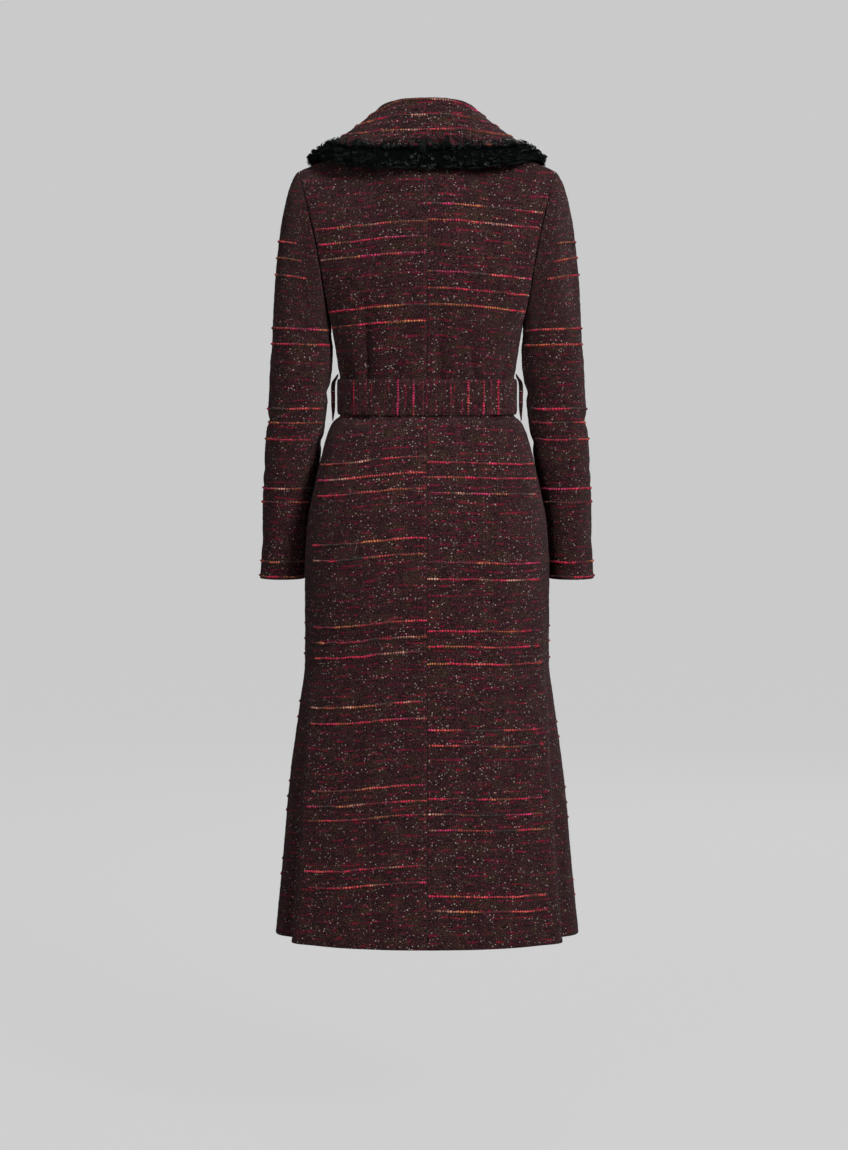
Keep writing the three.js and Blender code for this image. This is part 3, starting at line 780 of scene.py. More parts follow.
def ground_colour(tree, place, grain):
    """Mottled ground of the tweed: plum and olive, black slubs, and a light and dark grain."""
    patches = between(tree, noise(tree, scaled(tree, place, *PATCH_CELLS)), 0.42, 0.62)
    streaks = between(tree, noise(tree, scaled(tree, place, *STREAK_CELLS), 3), 0.42, 0.66)
    colour = blend_colour(tree, patches, GROUND, OLIVE)
    colour = blend_colour(tree, maths(tree, "MULTIPLY", streaks, 0.8), colour, PLUM)
    slubs = between(tree, noise(tree, scaled(tree, place, *SLUB_CELLS), 1), 0.60, 0.68)
    colour = blend_colour(tree, maths(tree, "MULTIPLY", slubs, 0.85), colour, BLACK)
    brighter = maths(tree, "MULTIPLY_ADD", between(tree, grain, 0.32, 0.68), 2.3, 0.12)
    tint = node(tree, "CombineColor", {0: brighter, 1: brighter, 2: brighter}).outputs[0]
    colour = blend_colour(tree, 1, colour, tint, "MULTIPLY")
    tan = dots(tree, place, TAN_CELLS, 0.24, 0.5)
    return blend_colour(tree, maths(tree, "MULTIPLY", tan, 0.85), colour, TAN)


def add_threads(tree, place, across, along, colour):
    """Weak red and purple dashes along the weft, and four dotted pink warp ends."""
    red = weak_rows(tree, place, along, 0.0125, 0.0020, 0.020, 0.50, 9)
    colour = blend_colour(tree, maths(tree, "MULTIPLY", red, 0.75), colour, WEAK_RED)
    purple = weak_rows(tree, place, along, 0.0071, 0.0016, 0.030, 0.52, 31)
    colour = blend_colour(tree, maths(tree, "MULTIPLY", purple, 0.65), colour, WEAK_PURPLE)
    warp_dots = between(tree, noise(tree, scaled(tree, place, *WARP_CELLS), 1), 0.52, 0.60)
    for end in WARP_ENDS:
        off = maths(tree, "ABSOLUTE", maths(tree, "SUBTRACT", across, end))
        band = maths(tree, "SUBTRACT", 1.0, between(tree, off, WARP_HALF_WIDTH, WARP_FADE))
        share = maths(tree, "MULTIPLY", maths(tree, "MULTIPLY", band, warp_dots), 0.45)
        colour = blend_colour(tree, share, colour, WARP_PINK)
    return colour


def white_flecks(tree, place):
    """Flecks of white wool, thicker in clusters."""
    clusters = between(tree, noise(tree, scaled(tree, place, *CLUSTER_CELLS), 2), 0.40, 0.54)
    fleck = dots(tree, place, FLECK_CELLS, 0.21, 0.66)
    return maths(tree, "MULTIPLY", fleck, maths(tree, "MULTIPLY_ADD", clusters, 0.8, 0.2))


def weave_normal(tree, across, along, grain, fleck):
    """Fine relief of the weave, its grain and its flecks."""
    weft = maths(tree, "SINE", maths(tree, "MULTIPLY", along, 2 * math.pi / WEFT_PITCH))
    warp = maths(tree, "SINE", maths(tree, "MULTIPLY", across, 2 * math.pi / WARP_PITCH))
    raised = maths(tree, "ADD", maths(tree, "MULTIPLY", grain, 1.6), fleck)
    height = maths(tree, "MULTIPLY_ADD", maths(tree, "MULTIPLY", weft, warp), 0.3, raised)
    bumped = node(tree, "Bump", {"Height": height, "Strength": 0.9, "Distance": BUMP_HEIGHT})
    return bumped.outputs["Normal"]


def tweed_material():
    material, tree, surface = new_material("tweed")
    place = node(tree, "Attribute", attribute_name="cloth").outputs["Vector"]
    split = node(tree, "SeparateXYZ", {"Vector": place})
    across, along = split.outputs["X"], split.outputs["Y"]
    grain = noise(tree, scaled(tree, place, *GRAIN_CELLS), 2)
    fleck = white_flecks(tree, place)
    colour = ground_colour(tree, place, grain)
    colour = add_threads(tree, place, across, along, colour)
    colour = blend_colour(tree, fleck, colour, WHITE)
    tree.links.new(colour, surface.inputs["Base Color"])
    tree.links.new(weave_normal(tree, across, along, grain, fleck), surface.inputs["Normal"])
    set_values(surface, {"Roughness": 0.95, "Specular IOR Level": 0.12})
    set_values(surface, {"Sheen Weight": 0.07, "Sheen Roughness": 0.35, "Sheen Tint": (0.95, 0.72, 0.76, 1)})
    return material


def yarn_material():
    material, tree, surface = new_material("fancy yarn")
    dye = node(tree, "Attribute", attribute_name="dye").outputs["Vector"]
    tree.links.new(dye, surface.inputs["Base Color"])
    set_values(surface, {"Roughness": 0.7, "Specular IOR Level": 0.25, "Sheen Weight": 0.15})
    return material


TWEED = tweed_material()
YARN = yarn_material()

# Creases and fancy lines of the body. A crease starts at its top, ends at its bottom and leans to one side.

CREASES = table(
    "x top bottom lean spread depth",
    (93, -230, -430, 0.03, 8, 11),
    (72, -285, -420, -0.06, 6, -2.5),
    (-19, -225, -420, -0.03, 7, 8.0),
    (2, -300, -415, 0.04, 6, 4.0),
    (-74, -290, -420, 0.12, 6, 6.5),
    (52, -305, -420, -0.10, 7, 8.5),
    (118, -285, -425, 0.22, 8, 9.0),
    (-116, -290, -425, -0.20, 8, 8.0),
    (108, -180, -262, 0.75, 8, 3.6),
    (-112, -188, -266, -0.7, 8, 3.2),
    (40, -560, -1130, 0.05, 22, 4.2),
    (-58, -620, -1260, -0.05, 25, 4.8),
    (104, -700, -1290, 0.07, 20, 4.6),
    (-128, -640, -1240, -0.08, 20, 4.2),
)
FRONT_CREASES = table(
    "x top bottom lean spread depth",
    (96, -270, -425, 0.05, 8, 4.0),
    (-92, -255, -425, -0.04, 8, 4.4),
    (-108, -120, -260, 0.3, 10, 3.0),
    (112, -130, -262, -0.34, 10, 2.6),
)
FRONT_Y, BACK_Y = -20, 30
BELT_HOLDS, BELT_EASES = 2, 14
BODICE_DROP = 12
SKIRT_DROP = {"left": 16, "right": 5}
DROP_CHANGE = 60
SAG_START, SAG_END = 10, 190
LINES = {
    "left": {
        "bodice": (-111, -134, -158, -237, -261),
        "skirt": (-466, -490, -513.5, -588, -612, -713, -737, -760.5, -835.5, -860,
                  -961, -984.5, -1006, -1082.5, -1107),
    },
    "right": {
        "bodice": (-84, -108.5, -186.5, -211.5, -236),
        "skirt": (-475, -497, -520.5, -625, -650, -728.5, -752, -778, -878, -902,
                  -981.5, -1005.5, -1029, -1128.5, -1151),
    },
}
BODICE_FRONT_LINE, BODICE_BACK_LINE = 0.94, 0.98
SKIRT_FRONT_LINE = 0.87
BACK_LINE_ANGLE = 82
COLLAR_END_X, COLLAR_END_Z = 75, -178
FEWEST_POINTS = 4


def weft_height(grid):
    """Height at the centre back of the weft thread through each point. The threads sag to the sides."""
    x, z = grid[..., 0], grid[..., 2]
    skirt = np.where(x > 0, SKIRT_DROP["left"], SKIRT_DROP["right"])
    drop = mix(skirt, BODICE_DROP, smooth(z, WAIST - DROP_CHANGE, WAIST + DROP_CHANGE))
    return z + drop * smooth(np.abs(x), SAG_START, SAG_END)


def fold_depth(grid):
    """Creases of the body. Under the belt none stands out, because the belt lies there."""
    down = -grid[..., 2]
    behind = smooth(grid[..., 1], FRONT_Y, BACK_Y)
    depth = crease_depth(grid, CREASES) * behind + crease_depth(grid, FRONT_CREASES) * (1 - behind)
    above = smooth(down, -BELT_TOP - BELT_EASES, -BELT_TOP - BELT_HOLDS)
    below = smooth(down, -BELT_BOTTOM + BELT_HOLDS, -BELT_BOTTOM + BELT_EASES)
    return depth - np.maximum(depth, 0) * above * (1 - below)


# Panels

PROBE = 60
LEVEL_SAMPLES = 400
PATTERN_STEP = 0.7


def even_levels(shape, low, high, count):
    """Levels of a panel, evenly spaced along its middle."""
    fine = np.linspace(low, high, LEVEL_SAMPLES)
    line = shape(np.full(LEVEL_SAMPLES, 0.5), fine)
    lengths = np.concatenate([[0], np.cumsum(np.linalg.norm(np.diff(line, axis=0), axis=1))])
    return np.interp(np.linspace(0, lengths[-1], count), lengths, fine)


def line_reach(solid, z, rng):
    """Share of a panel's width that a fancy line crosses.

    Behind, the skirt's lines stop short of its side fold. In front they stop where the sleeve hangs.
    """
    if solid.startswith("front_skirt"):
        return mix(SKIRT_FRONT_LINE, 1, smooth(-z, -CUFF - 20, -CUFF + 40))
    if not solid.startswith("back_skirt"):
        return BODICE_FRONT_LINE if solid.startswith("front") else BODICE_BACK_LINE
    fold = mix(BACK_LINE_ANGLE, look_up(SIDE_FOLD, "ridge", z), smooth(-z, 470, 560))
    return (fold - rng.uniform(1, 5)) / 90


def line_shows(path, tucked):
    """Where a fancy line isn't covered: clear of the collar, and on the left front clear of the right one."""
    x, y, z = path.T
    in_front = y < 0
    under_collar = in_front & (z > COLLAR_END_Z) & (np.abs(x) < COLLAR_END_X)
    under_front = in_front & tucked & (x < OVERLAP + 6)
    return ~(under_collar | under_front)


def fine_grid(shape, low, high, tucked):
    """Grid of a panel at the cloth's spacing. A coarse probe shows how many points that takes."""
    def form(columns, rows):
        u = np.linspace(0, 1, columns)[None, :]
        v = even_levels(shape, low, high, rows)[:, None]
        grid = shape(u + 0 * v, v + 0 * u)
        return tuck_under(grid) if tucked else grid
    probe = form(PROBE, PROBE)
    return form(steps_for(arc_length(probe, 1)[:, -1].max()), steps_for(arc_length(probe, 0)[-1].max()))


def hold_seams(grid, normals, seams):
    """Keeps seam edges on their planes and sets them back. Returns how far the cloth rolls in beside them."""
    across, along = arc_length(grid, 1), arc_length(grid, 0)
    edges = {
        "start": ((slice(None), 0), across),
        "end": ((slice(None), -1), across[:, -1:] - across),
        "top": ((0, slice(None)), along),
        "bottom": ((-1, slice(None)), along[-1:] - along),
    }
    roll = np.zeros(grid.shape[:2])
    for edge, axis, inward in seams:
        picked, distance = edges[edge]
        normals[picked + (axis,)] = 0
        grid[picked + (axis,)] += inward * SEAM_SETBACK
        roll = np.minimum(roll, seam_roll(distance))
    normals[:] = unit(normals)
    return roll


def lay_lines(solid, outer, normals, weft, lines, rng, tucked):
    for wanted in lines:
        last = int(outer.shape[1] * line_reach(solid, wanted, rng))
        path, sides = level_line(outer[:, :last], normals, weft, wanted)
        if len(path) >= FEWEST_POINTS:
            shown = line_shows(path, tucked)
            path, sides = path[shown], sides[shown]
        if len(path) >= FEWEST_POINTS:
            lay_yarn(path, sides, YARN_RADIUS, rng)


def add_panel(solid, shape, low, high, side, seams, lines, seed):
    """One cut panel of the coat: its closed cloth, and the fancy yarn laid over it."""
    tucked = solid == "front_bodice_left" or solid == "front_skirt_left"
    grid = fine_grid(shape, low, high, tucked)
    normals = grid_normals(grid)
    roll = hold_seams(grid, normals, seams)
    grid[..., 0] *= side
    normals[..., 0] *= side
    creased = grid + normals * fold_depth(grid)[..., None]
    weft = weft_height(grid)
    warp = arc_length(grid * (1, 1, 0), 1)
    outer = creased + normals * (roll + relief(warp, weft, seed))[..., None]
    cloth = points(warp * MM, -weft * MM, seed * PATTERN_STEP)
    panel = wall_mesh("cloth_" + solid, outer, creased - normals * CLOTH_THICKNESS, {"cloth": cloth})
    lay_lines(solid, outer, normals, weft, lines, np.random.default_rng(seed), tucked)
    finish_cloth(panel, solid)


# Panels of one side. A seam edge lies in a plane across an axis, and is set back along it.

X_AXIS, Y_AXIS, Z_AXIS = 0, 1, 2
PANELS = (
    ("back", "bodice", back_bodice, 0, 2,
     [("start", X_AXIS, 1), ("end", Y_AXIS, 1), ("top", Y_AXIS, 1), ("bottom", Z_AXIS, 1)]),
    ("front", "bodice", front_bodice, 0, 2,
     [("end", Y_AXIS, -1), ("top", Y_AXIS, -1), ("bottom", Z_AXIS, 1)]),
    ("back", "skirt", back_skirt, WAIST, HEM,
     [("start", X_AXIS, 1), ("end", Y_AXIS, 1), ("top", Z_AXIS, -1)]),
    ("front", "skirt", front_skirt, WAIST, HEM, [("end", Y_AXIS, -1), ("top", Z_AXIS, -1)]),
)
FIRST_SEED = {"left": 3, "right": 7}


def add_body(side):
    for number, (face, part, shape, low, high, seams) in enumerate(PANELS):
        solid = f"{face}_{part}_{side}"
        seed = 10 * number + FIRST_SEED[side]
        add_panel(solid, shape, low, high, SIDES[side], seams, LINES[side][part], seed)
    finish_yarn("yarn_body_" + side)


for side_name in SIDES:
    add_body(side_name)

# Sleeves

SLEEVE_LINES = (-148, -172.7, -197.4, -273.9, -297, -395.7, -417, -443, -519.7, -541, -634.5, -657.6)
ELBOW_FOLDS = table(
    "z spread depth lean",
    (-352, 8, 1.5, 0.3),
    (-392, 9, 3.2, -0.35),
    (-431, 8, 3.0, 0.25),
    (-470, 8, 2.2, -0.3),
    (-528, 8, 1.6, 0.2),
    (-590, 9, 1.4, -0.2),
)
FOLD_LEAN_REACH = 60
FOLDS_START, FOLDS_WHOLE = 0.4, 1
FOLDS_EASE, FOLDS_END = 1.85, 2
SLEEVE_GIRTH, SLEEVE_LENGTH = 320, 660
SLEEVE_SLIT = 0.0006
ARMHOLE_ROLL = 1.3
SLEEVE_SAG = 9
SAG_TOP, SAG_BOTTOM = -150, -330

# Columns beside the sleeve's inner seam that carry no fancy line, because they hang against the body
INNER_COLUMNS = 8


def elbow_folds(turn, z):
    """Soft folds across the inner bend of the elbow, deepest at the front."""
    total = np.zeros(np.broadcast(turn, z).shape)
    for height, spread, depth, lean in zip(*ELBOW_FOLDS.values()):
        total += depth * bump(z, height + lean * FOLD_LEAN_REACH * np.cos(turn), spread)
    return total * (0.35 + 0.65 * np.sin(turn / 2 + 2.4) ** 2)


def sleeve_grid():
    """Grid of the left sleeve, round from its inner seam and back to it, with its turns and levels."""
    def at_middle(u, v):
        return sleeve_point(2 * np.pi * u + 3 * np.pi / 2, v)
    turn = np.pi + 2 * np.pi * np.linspace(SLEEVE_SLIT, 1 - SLEEVE_SLIT, steps_for(SLEEVE_GIRTH))[None, :]
    v = even_levels(at_middle, 0, 2, steps_for(SLEEVE_LENGTH))[:, None]
    return sleeve_point(turn + 0 * v, v + 0 * turn), turn, v


def add_sleeve(side):
    sign = SIDES[side]
    grid, turn, v = sleeve_grid()
    z = grid[..., 2]
    normals = grid_normals(grid - points(look_up(SLEEVE, "x", z), look_up(SLEEVE, "y", z), 0 * z))
    normals[0, :, 0] = 0
    normals = unit(normals)
    a, w = arc_length(grid, 1), arc_length(grid, 0)
    held = smooth(v, FOLDS_START, FOLDS_WHOLE) * (1 - smooth(v, FOLDS_EASE, FOLDS_END))
    creased = grid - normals * (elbow_folds(turn, z) * held)[..., None]
    roll = np.minimum(seam_roll(a), seam_roll(a[:, -1:] - a))
    roll = np.minimum(roll, seam_roll(w, ARMHOLE_ROLL))
    weft = z - SLEEVE_SAG * smooth(z, SAG_BOTTOM, SAG_TOP) * np.cos(turn)
    outer = creased + normals * (roll + relief(a, weft, SEEDS["sleeve"] + sign))[..., None]
    inner = creased - normals * CLOTH_THICKNESS
    for layer in (outer, inner, normals):
        layer[..., 0] *= sign
    cloth = points(a * MM, -weft * MM, PATTERNS["sleeve"] + sign)
    panel = wall_mesh("cloth_sleeve_" + side, outer, inner, {"cloth": cloth})
    rng = np.random.default_rng(SEEDS["sleeve yarn"] + sign)
    for wanted in SLEEVE_LINES:
        path, sides = level_line(outer, normals, weft, wanted)
        path, sides = path[INNER_COLUMNS:-INNER_COLUMNS], sides[INNER_COLUMNS:-INNER_COLUMNS]
        if len(path) >= FEWEST_POINTS:
            lay_yarn(path, sides, YARN_RADIUS, rng)
    finish_cloth(panel, "sleeve_" + side)
    finish_yarn("yarn_sleeve_" + side)


for side_name in SIDES:
    add_sleeve(side_name)

# Collar

COLLAR_LENGTH, COLLAR_WIDTH = 330, 175
COLLAR_OUT, COLLAR_IN = 1.1, 1.2
FALL_WAVES = 1.2
WAVE_CELLS = (60, 50)
COLLAR_LINES = 7
COLLAR_FIRST_LINE, COLLAR_LINE_STEP = -29.5, 24.5
COLLAR_YARN = {"radius": 1.6, "strength": 0.85}


def add_collar():
    half = steps_for(COLLAR_LENGTH) // 2
    half -= half % COARSE
    rows = steps_for(COLLAR_WIDTH)
    s = np.linspace(-1, 1, 2 * half + 1)[None, :]
    t = np.linspace(0, 1, rows)[:, None]
    middle = collar_point(np.abs(s) + 0 * t, t + 0 * s)
    middle[..., 0] *= np.where(s < 0, -1, 1)
    middle[:, half, 0] = 0
    normals = grid_normals(middle)
    a, w = arc_length(middle, 1), arc_length(middle, 0)
    a = a - a[:, half:half + 1]
    waves = soft_noise(a, w, *WAVE_CELLS, SEEDS["collar wave"])
    uneven = waves * FALL_WAVES * smooth(t, 0.45, 0.8) * (1 - smooth(t, 0.9, 1))
    base = middle + normals * uneven[..., None]
    outer = base + normals * (COLLAR_OUT + relief(a, w, SEEDS["collar"]))[..., None]
    inner = base - normals * COLLAR_IN
    panel = wall_mesh("cloth_collar", outer, inner, {"cloth": points(a * MM, w * MM, PATTERNS["collar"])})
    rng = np.random.default_rng(SEEDS["collar yarn"])
    for k in range(COLLAR_LINES):
        path, sides = level_line(outer, normals, -w, COLLAR_FIRST_LINE - COLLAR_LINE_STEP * k)
        if len(path) >= FEWEST_POINTS:
            lay_yarn(path, sides, rng=rng, **COLLAR_YARN)
    finish_cloth(panel, "collar")
    finish_yarn("yarn_collar")


add_collar()

# Belt and its loops

BELT_UNDER_END = 198
BELT_UPPER_END = -222
BELT_LENGTH = 870
BELT_CLEARANCE = 1
BELT_THICKNESS = 4
BELT_RELIEF_ROOM = 0.5
BELT_INSIDE = 0.3
BELT_RELIEF = 0.8
BELT_YARN_RADIUS, BELT_YARN_GROWTH = 1.3, 0.5
LAP_GAP = 0.6
LAP_START, LAP_WHOLE = -128, -156
BELT_LINES = table(
    "x strength", (111, 0.35), (92, 0.3), (45, 1.2), (20, 1.1), (6, 0.4),
    (-37, 0.35), (-63, 1.3), (-86, 1.2), (-97, 0.4), (-108, 1.1)
)


def add_belt():
    columns = steps_for(BELT_LENGTH)
    rows = steps_for(BELT_TOP - BELT_BOTTOM)
    degrees = np.linspace(BELT_UNDER_END, BELT_UPPER_END, columns)
    lift = (BELT_THICKNESS + LAP_GAP) * smooth(-degrees, -LAP_START, -LAP_WHOLE)
    z = np.linspace(BELT_TOP, BELT_BOTTOM, rows)[:, None]

    def ring(extra):
        x, y = waist_point(degrees, BELT_CLEARANCE + lift + extra)
        return points(x[None, :], y[None, :], z)
    grid, inner = ring(BELT_THICKNESS - BELT_RELIEF_ROOM), ring(BELT_INSIDE)
    normals = grid_normals(grid)
    a, w = arc_length(grid, 1), arc_length(grid, 0)
    edge = np.minimum(w, w[-1:] - w)
    round_off = seam_roll(edge, 1.6, 2.6)
    outer = grid + normals * (round_off + relief(w, a, SEEDS["belt"]) * BELT_RELIEF)[..., None]
    panel = wall_mesh("cloth_belt", outer, inner, {"cloth": points(w * MM, a * MM, PATTERNS["belt"])})
    rng = np.random.default_rng(SEEDS["belt yarn"])
    behind = grid[0, :, 1] > 0
    for x, strength in zip(*BELT_LINES.values()):
        j = int(np.argmin(np.where(behind, np.abs(grid[0, :, 0] - x), np.inf)))
        radius = BELT_YARN_RADIUS + BELT_YARN_GROWTH * strength
        lay_yarn(outer[:, j], normals[:, j], radius, rng, strength, REDS)
    finish_cloth(panel, "belt")
    finish_yarn("yarn_belt")


LOOP_OUT = 2.2
LOOP_HOLLOW = 3.2
LOOP_BOW = 2.4
LOOP_STANDOFF = 3.7
LOOP_HALF_WIDTH = 6
LOOP_RELIEF = 0.5
LOOP_ROLL = 2


def loop_line(top, bottom, share):
    """Run of a loop from the bodice over the belt to the skirt, as x and z."""
    face = WAIST_HALF + BELT_CLEARANCE + BELT_THICKNESS + LOOP_STANDOFF
    above, below = look_up(BODY, "half", top), look_up(BODY, "half", bottom)
    return curve(np.array([
        (above + 1.2, top),
        (above + 2.9, BELT_TOP + 3),
        (face - 1, BELT_TOP - 4),
        (face, BELT_TOP - 12),
        (face, BELT_BOTTOM + 12),
        (face + 0.6, BELT_BOTTOM + 3),
        (below + 0.6, bottom),
    ]), share)


def add_loop(side):
    sign = SIDES[side]
    low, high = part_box("belt_loop_" + side)
    share = np.linspace(0, 1, 25)
    line = loop_line(high.z / MM, low.z / MM, share)
    hollow = np.sin(np.pi * share)[:, None]
    bow = LOOP_BOW * hollow ** 1.5
    width = np.linspace(-LOOP_HALF_WIDTH, LOOP_HALF_WIDTH, 9)
    out = line[:, :1] + LOOP_OUT * hollow ** 0.3 + 0.8 + bow
    back = line[:, :1] - LOOP_HOLLOW * hollow ** 0.8 + 0.3 + 0.75 * bow
    grid = points(out, width[None, :], line[:, 1:])
    inner = points(back, width[None, :], line[:, 1:])
    a, w = arc_length(grid, 1), arc_length(grid, 0)
    rough = relief(a, w, SEEDS["loop"]) * LOOP_RELIEF
    grid[..., 0] += seam_roll(np.minimum(a, a[:, -1:] - a), spread=LOOP_ROLL) + rough
    grid[..., 0] *= sign
    inner[..., 0] *= sign
    cloth = points(a * MM, w * MM, PATTERNS["loop"])
    panel = wall_mesh("cloth_belt_loop_" + side, grid, inner, {"cloth": cloth})
    finish_cloth(panel, "belt_loop_" + side)


add_belt()
for side_name in SIDES:
    add_loop(side_name)

# Fur

FUR_HEIGHT = 35
FUR_THICKNESS = 18
FUR_OFFSET = 0.9
SKIN_COLUMNS, SKIN_AROUND = 260, 36
TURNED_OVER = [0, 3, 2, 1]
SKIN_SHARES, ROOT_SHARES = (0.92, 0.62), (0.78, 0.6)
LUMP_CELLS, LUMP_HEIGHT = (9, 7), 1.1
LOCK_WIDTH = 0.008
STRAY = 0.16
UPPER_EDGE = -0.45
HAIR_JOINTS = 3
HAIR_SIDES = 3
LOCKS_PER_HALF = 640
HAIRS_PER_LOCK = 13
HAIR_SHORTEST, HAIR_SPREAD = 4.5, 3
HAIR_THICKNESS = 0.62
TIP_THICKNESS = 0.12
LOCK_PULL = 0.55
FUR_TINT = (0.80, 1, 0.97, 1)


def fur_frame(s):
    """Centre of the fur strip, its two half sizes' directions, and its taper, at shares of each half."""
    share = np.abs(s)
    edge = curve(COLLAR_EDGE, share)
    fall = unit(edge - curve(COLLAR_ROLL, share))
    ahead = curve(COLLAR_EDGE, share + 0.002) - curve(COLLAR_EDGE, share - 0.002)
    out = unit(np.cross(ahead, fall))
    taper = np.sqrt(np.maximum(0.12, 1 - share ** 8))[..., None]
    centre = edge + fall * (FUR_HEIGHT / 2 * taper + FUR_OFFSET)
    mirror = points(np.where(s < 0, -1, 1), 1, 1)
    return centre * mirror, fall * mirror, out * mirror, taper


def fur_surface(s, turn, height_share, thickness_share):
    """Point and outward direction on the strip, where turn is 0 at its lower edge and pi / 2 at its face."""
    centre, fall, out, taper = fur_frame(s)
    high = FUR_HEIGHT / 2 * taper * height_share
    thick = FUR_THICKNESS / 2 * taper * thickness_share
    cos, sin = np.cos(turn)[..., None], np.sin(turn)[..., None]
    place = centre + fall * high * cos + out * thick * sin
    return place, unit(fall * cos / high + out * sin / thick)


def fur_material(name, colour, roughness, bump_strength, gloss):
    material, tree, surface = new_material(name)
    where = node(tree, "NewGeometry").outputs["Position"]
    patch = between(tree, noise(tree, scaled(tree, where, 90, 90, 90), 2), 0.45, 0.75)
    colour_out = blend_colour(tree, patch, colour, tuple(2.2 * c for c in colour))
    tree.links.new(colour_out, surface.inputs["Base Color"])
    fibres = noise(tree, scaled(tree, where, 900, 900, 260), 2)
    raised = node(tree, "Bump", {"Height": fibres, "Strength": bump_strength, "Distance": 0.001})
    tree.links.new(raised.outputs["Normal"], surface.inputs["Normal"])
    set_values(surface, {"Roughness": roughness, "Specular IOR Level": gloss, "Specular Tint": FUR_TINT})
    return material


FUR_SKIN = fur_material("fur underlay", (0.0010, 0.0011, 0.0011), 0.9, 0.6, 0.04)
FUR_HAIR = fur_material("fur hair", (0.0015, 0.0017, 0.0017), 0.24, 0.0, 0.34)


def add_fur_skin():
    s = np.linspace(-1, 1, SKIN_COLUMNS)[:, None]
    turn = 2 * np.pi * np.arange(SKIN_AROUND)[None, :] / SKIN_AROUND
    place, away = fur_surface(s + 0 * turn, turn + 0 * s, *SKIN_SHARES)
    lumps = soft_noise(s * COLLAR_LENGTH, turn * FUR_THICKNESS / 2, *LUMP_CELLS, SEEDS["fur"]) * LUMP_HEIGHT
    place = place + away * lumps[..., None]
    index = np.arange(SKIN_COLUMNS * SKIN_AROUND).reshape(SKIN_COLUMNS, SKIN_AROUND)
    ends = [np.array([index[0]]), np.array([index[-1, ::-1]])]
    quads = ring_faces(index)[:, TURNED_OVER]
    skin = make_mesh("fur_underlay", place.reshape(-1, 3), [quads, *ends], {})
    skin.data.materials.append(FUR_SKIN)
    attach(skin, "root")
    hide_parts("fur_trim")


def hair_run(sign, rng, count):
    """Root, tip and outward direction of each hair. The tips of a lock lean together."""
    lock_share = rng.uniform(0.0, 1.0, LOCKS_PER_HALF)
    lock_turn = rng.uniform(0, 2 * np.pi, LOCKS_PER_HALF)
    lock = np.repeat(np.arange(LOCKS_PER_HALF), HAIRS_PER_LOCK)
    s = np.clip(lock_share[lock] + rng.normal(0, LOCK_WIDTH, count), 0.001, 0.999) * sign
    turn = lock_turn[lock] + rng.normal(0, STRAY, count)
    upper = np.cos(turn) < UPPER_EDGE
    root, away = fur_surface(s, turn, *ROOT_SHARES)
    _, fall, out, _ = fur_frame(s)
    ahead = np.cross(fall, out)
    lock_lean = rng.normal(0, 0.5, LOCKS_PER_HALF)[lock]
    downward = np.where(upper, -1.3, 0.9)[:, None]
    flow = fall * downward + ahead * (lock_lean + rng.normal(0, STRAY, count))[:, None]
    lock_length = 0.7 + 0.7 * rng.random(LOCKS_PER_HALF)[lock]
    longer = np.where(upper, 1.8 + 0.8 * bump(s, 0, 0.3), 1)
    length = ((HAIR_SHORTEST + HAIR_SPREAD * rng.random(count)) * lock_length * longer)[:, None]
    tip = root + unit(away * 0.55 + flow * 0.75) * length
    lock_tip = np.zeros((LOCKS_PER_HALF, 3))
    np.add.at(lock_tip, lock, tip / HAIRS_PER_LOCK)
    tip = mix(tip, lock_tip[lock], LOCK_PULL)
    elbow = root + away * 0.42 * length + (tip - root) * 0.28
    return root, elbow, tip, away


def add_fur_hair(side):
    """Hair in small locks. Each hair is a thin three-sided spike that bends down and outward."""
    rng = np.random.default_rng(SEEDS["hair"] + SIDES[side])
    count = LOCKS_PER_HALF * HAIRS_PER_LOCK
    root, elbow, tip, away = hair_run(SIDES[side], rng, count)
    share = np.linspace(0, 1, HAIR_JOINTS)[None, :, None]
    bent = 2 * elbow[:, None] * share * (1 - share)
    line = root[:, None] * (1 - share) ** 2 + bent + tip[:, None] * share ** 2
    across = unit(np.cross(tip - root, away))
    lift = unit(np.cross(across, tip - root))
    thin_out = np.linspace(1, TIP_THICKNESS, HAIR_JOINTS) ** 0.7
    thick = (HAIR_THICKNESS * rng.uniform(0.6, 1.4, count))[:, None] * thin_out
    turns = 2 * np.pi * np.arange(HAIR_SIDES) / HAIR_SIDES
    ring = np.cos(turns)[None, :, None] * across[:, None] + np.sin(turns)[None, :, None] * lift[:, None]
    verts = line[:, :, None] + thick[:, :, None, None] * ring[:, None]
    index = np.arange(count * HAIR_JOINTS * HAIR_SIDES).reshape(count, HAIR_JOINTS, HAIR_SIDES)
    caps = np.concatenate([index[:, 0, ::-1], index[:, -1]])
    hair = make_mesh("fur_hair_" + side, verts.reshape(-1, 3), [ring_faces(index), caps], {})
    hair.data.materials.append(FUR_HAIR)
    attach(hair, "root")


add_fur_skin()
for side_name in SIDES:
    add_fur_hair(side_name)

# Floor, backdrop, light and camera, in metres. The light from the picture's right shows the creases.

FLOOR = -1.54
FLOOR_RADIUS = 14.0
SWEEP_RADIUS = 4.0
WALL_HEIGHT = 24.0
CENTRE_RADIUS = 0.0005
PAPER_BASE = (0.06, 0.06, 0.06, 1)
PAPER_GLOW = (0.604, 0.604, 0.604, 1)
GLOW_STRENGTH = 0.97
LENS = 137.0
SENSOR_WIDTH = 36
CAMERA_PLACE = (0.0047, 5.0, -0.2955)
CAMERA_DIP = 4.10
WORLD_GREY = (0.6, 0.6, 0.6, 1)
WORLD_STRENGTH = 0.11

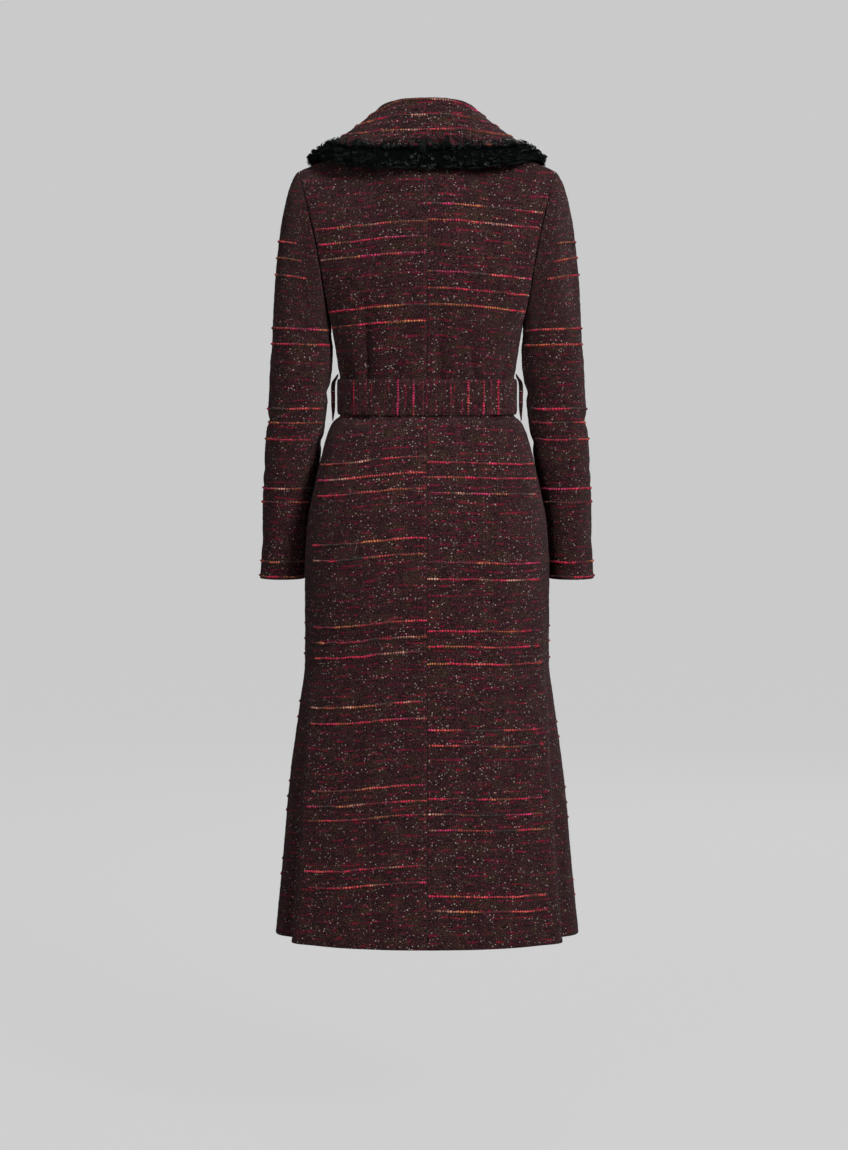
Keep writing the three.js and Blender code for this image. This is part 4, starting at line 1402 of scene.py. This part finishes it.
# Place, target, size and power of each light
LIGHTS = {
    "key": ((-2.3, 3.6, 1.3), (0, 0, -0.6), (1.0, 1.0), 172),
    "fill": ((1.7, 3.9, 0.0), (0, 0, -0.7), (1.6, 2.0), 42),
    "top": ((0, 0.6, 2.4), (0, 0, -0.3), (1.4, 1.4), 18),
    "front": ((-1.2, -3.9, 1.1), (0, 0, -0.6), (1.6, 1.6), 70),
}


def add_stage():
    """Pale paper all round: a floor that sweeps up into a wall."""
    flat = np.linspace(CENTRE_RADIUS, FLOOR_RADIUS, 8)[:-1]
    bend = np.linspace(0, math.pi / 2, 14)
    radius = np.concatenate([flat, FLOOR_RADIUS + SWEEP_RADIUS * np.sin(bend)])
    height = np.concatenate([0 * flat, SWEEP_RADIUS * (1 - np.cos(bend))])
    radius, height = np.append(radius, radius[-1])[:, None], np.append(height, WALL_HEIGHT)[:, None]
    turn = np.linspace(0, 2 * np.pi, 73)[None, :]
    grid = points(radius * np.cos(turn), radius * np.sin(turn), FLOOR + height + 0 * turn)
    stage = make_mesh("backdrop", grid.reshape(-1, 3) / MM, [grid_faces(*grid.shape[:2], flip=True)], {})
    stage.visible_diffuse = False
    stage.visible_glossy = False
    material, _, surface = new_material("backdrop paper")
    set_values(surface, {"Base Color": PAPER_BASE, "Roughness": 1, "Specular IOR Level": 0})
    set_values(surface, {"Emission Color": PAPER_GLOW, "Emission Strength": GLOW_STRENGTH})
    stage.data.materials.append(material)


def add_light(name, place, target, size, power):
    data = bpy.data.lights.new(name, "AREA")
    data.shape = "RECTANGLE"
    data.size, data.size_y = size
    data.energy = power
    lamp = bpy.data.objects.new(name, data)
    bpy.context.scene.collection.objects.link(lamp)
    lamp.location = place
    x, y, z = np.array(target, float) - np.array(place, float)
    lamp.rotation_euler = (math.atan2(math.hypot(x, y), -z), 0, math.atan2(-x, y))


def add_camera():
    data = bpy.data.cameras.new("camera")
    data.lens = LENS
    data.sensor_width = SENSOR_WIDTH
    data.sensor_fit = "HORIZONTAL"
    data.dof.use_dof = False
    camera = bpy.data.objects.new("camera", data)
    camera.location = CAMERA_PLACE
    camera.rotation_euler = (math.radians(90 - CAMERA_DIP), 0, math.pi)
    bpy.context.scene.collection.objects.link(camera)
    bpy.context.scene.camera = camera


def add_world():
    world = bpy.data.worlds.new("surroundings")
    world.use_nodes = True
    set_values(world.node_tree.nodes["Background"], {"Color": WORLD_GREY, "Strength": WORLD_STRENGTH})
    bpy.context.scene.world = world


add_stage()
for light_name, settings in LIGHTS.items():
    add_light(light_name, *settings)
add_camera()
add_world()
bpy.context.scene.view_settings.view_transform = "Standard"
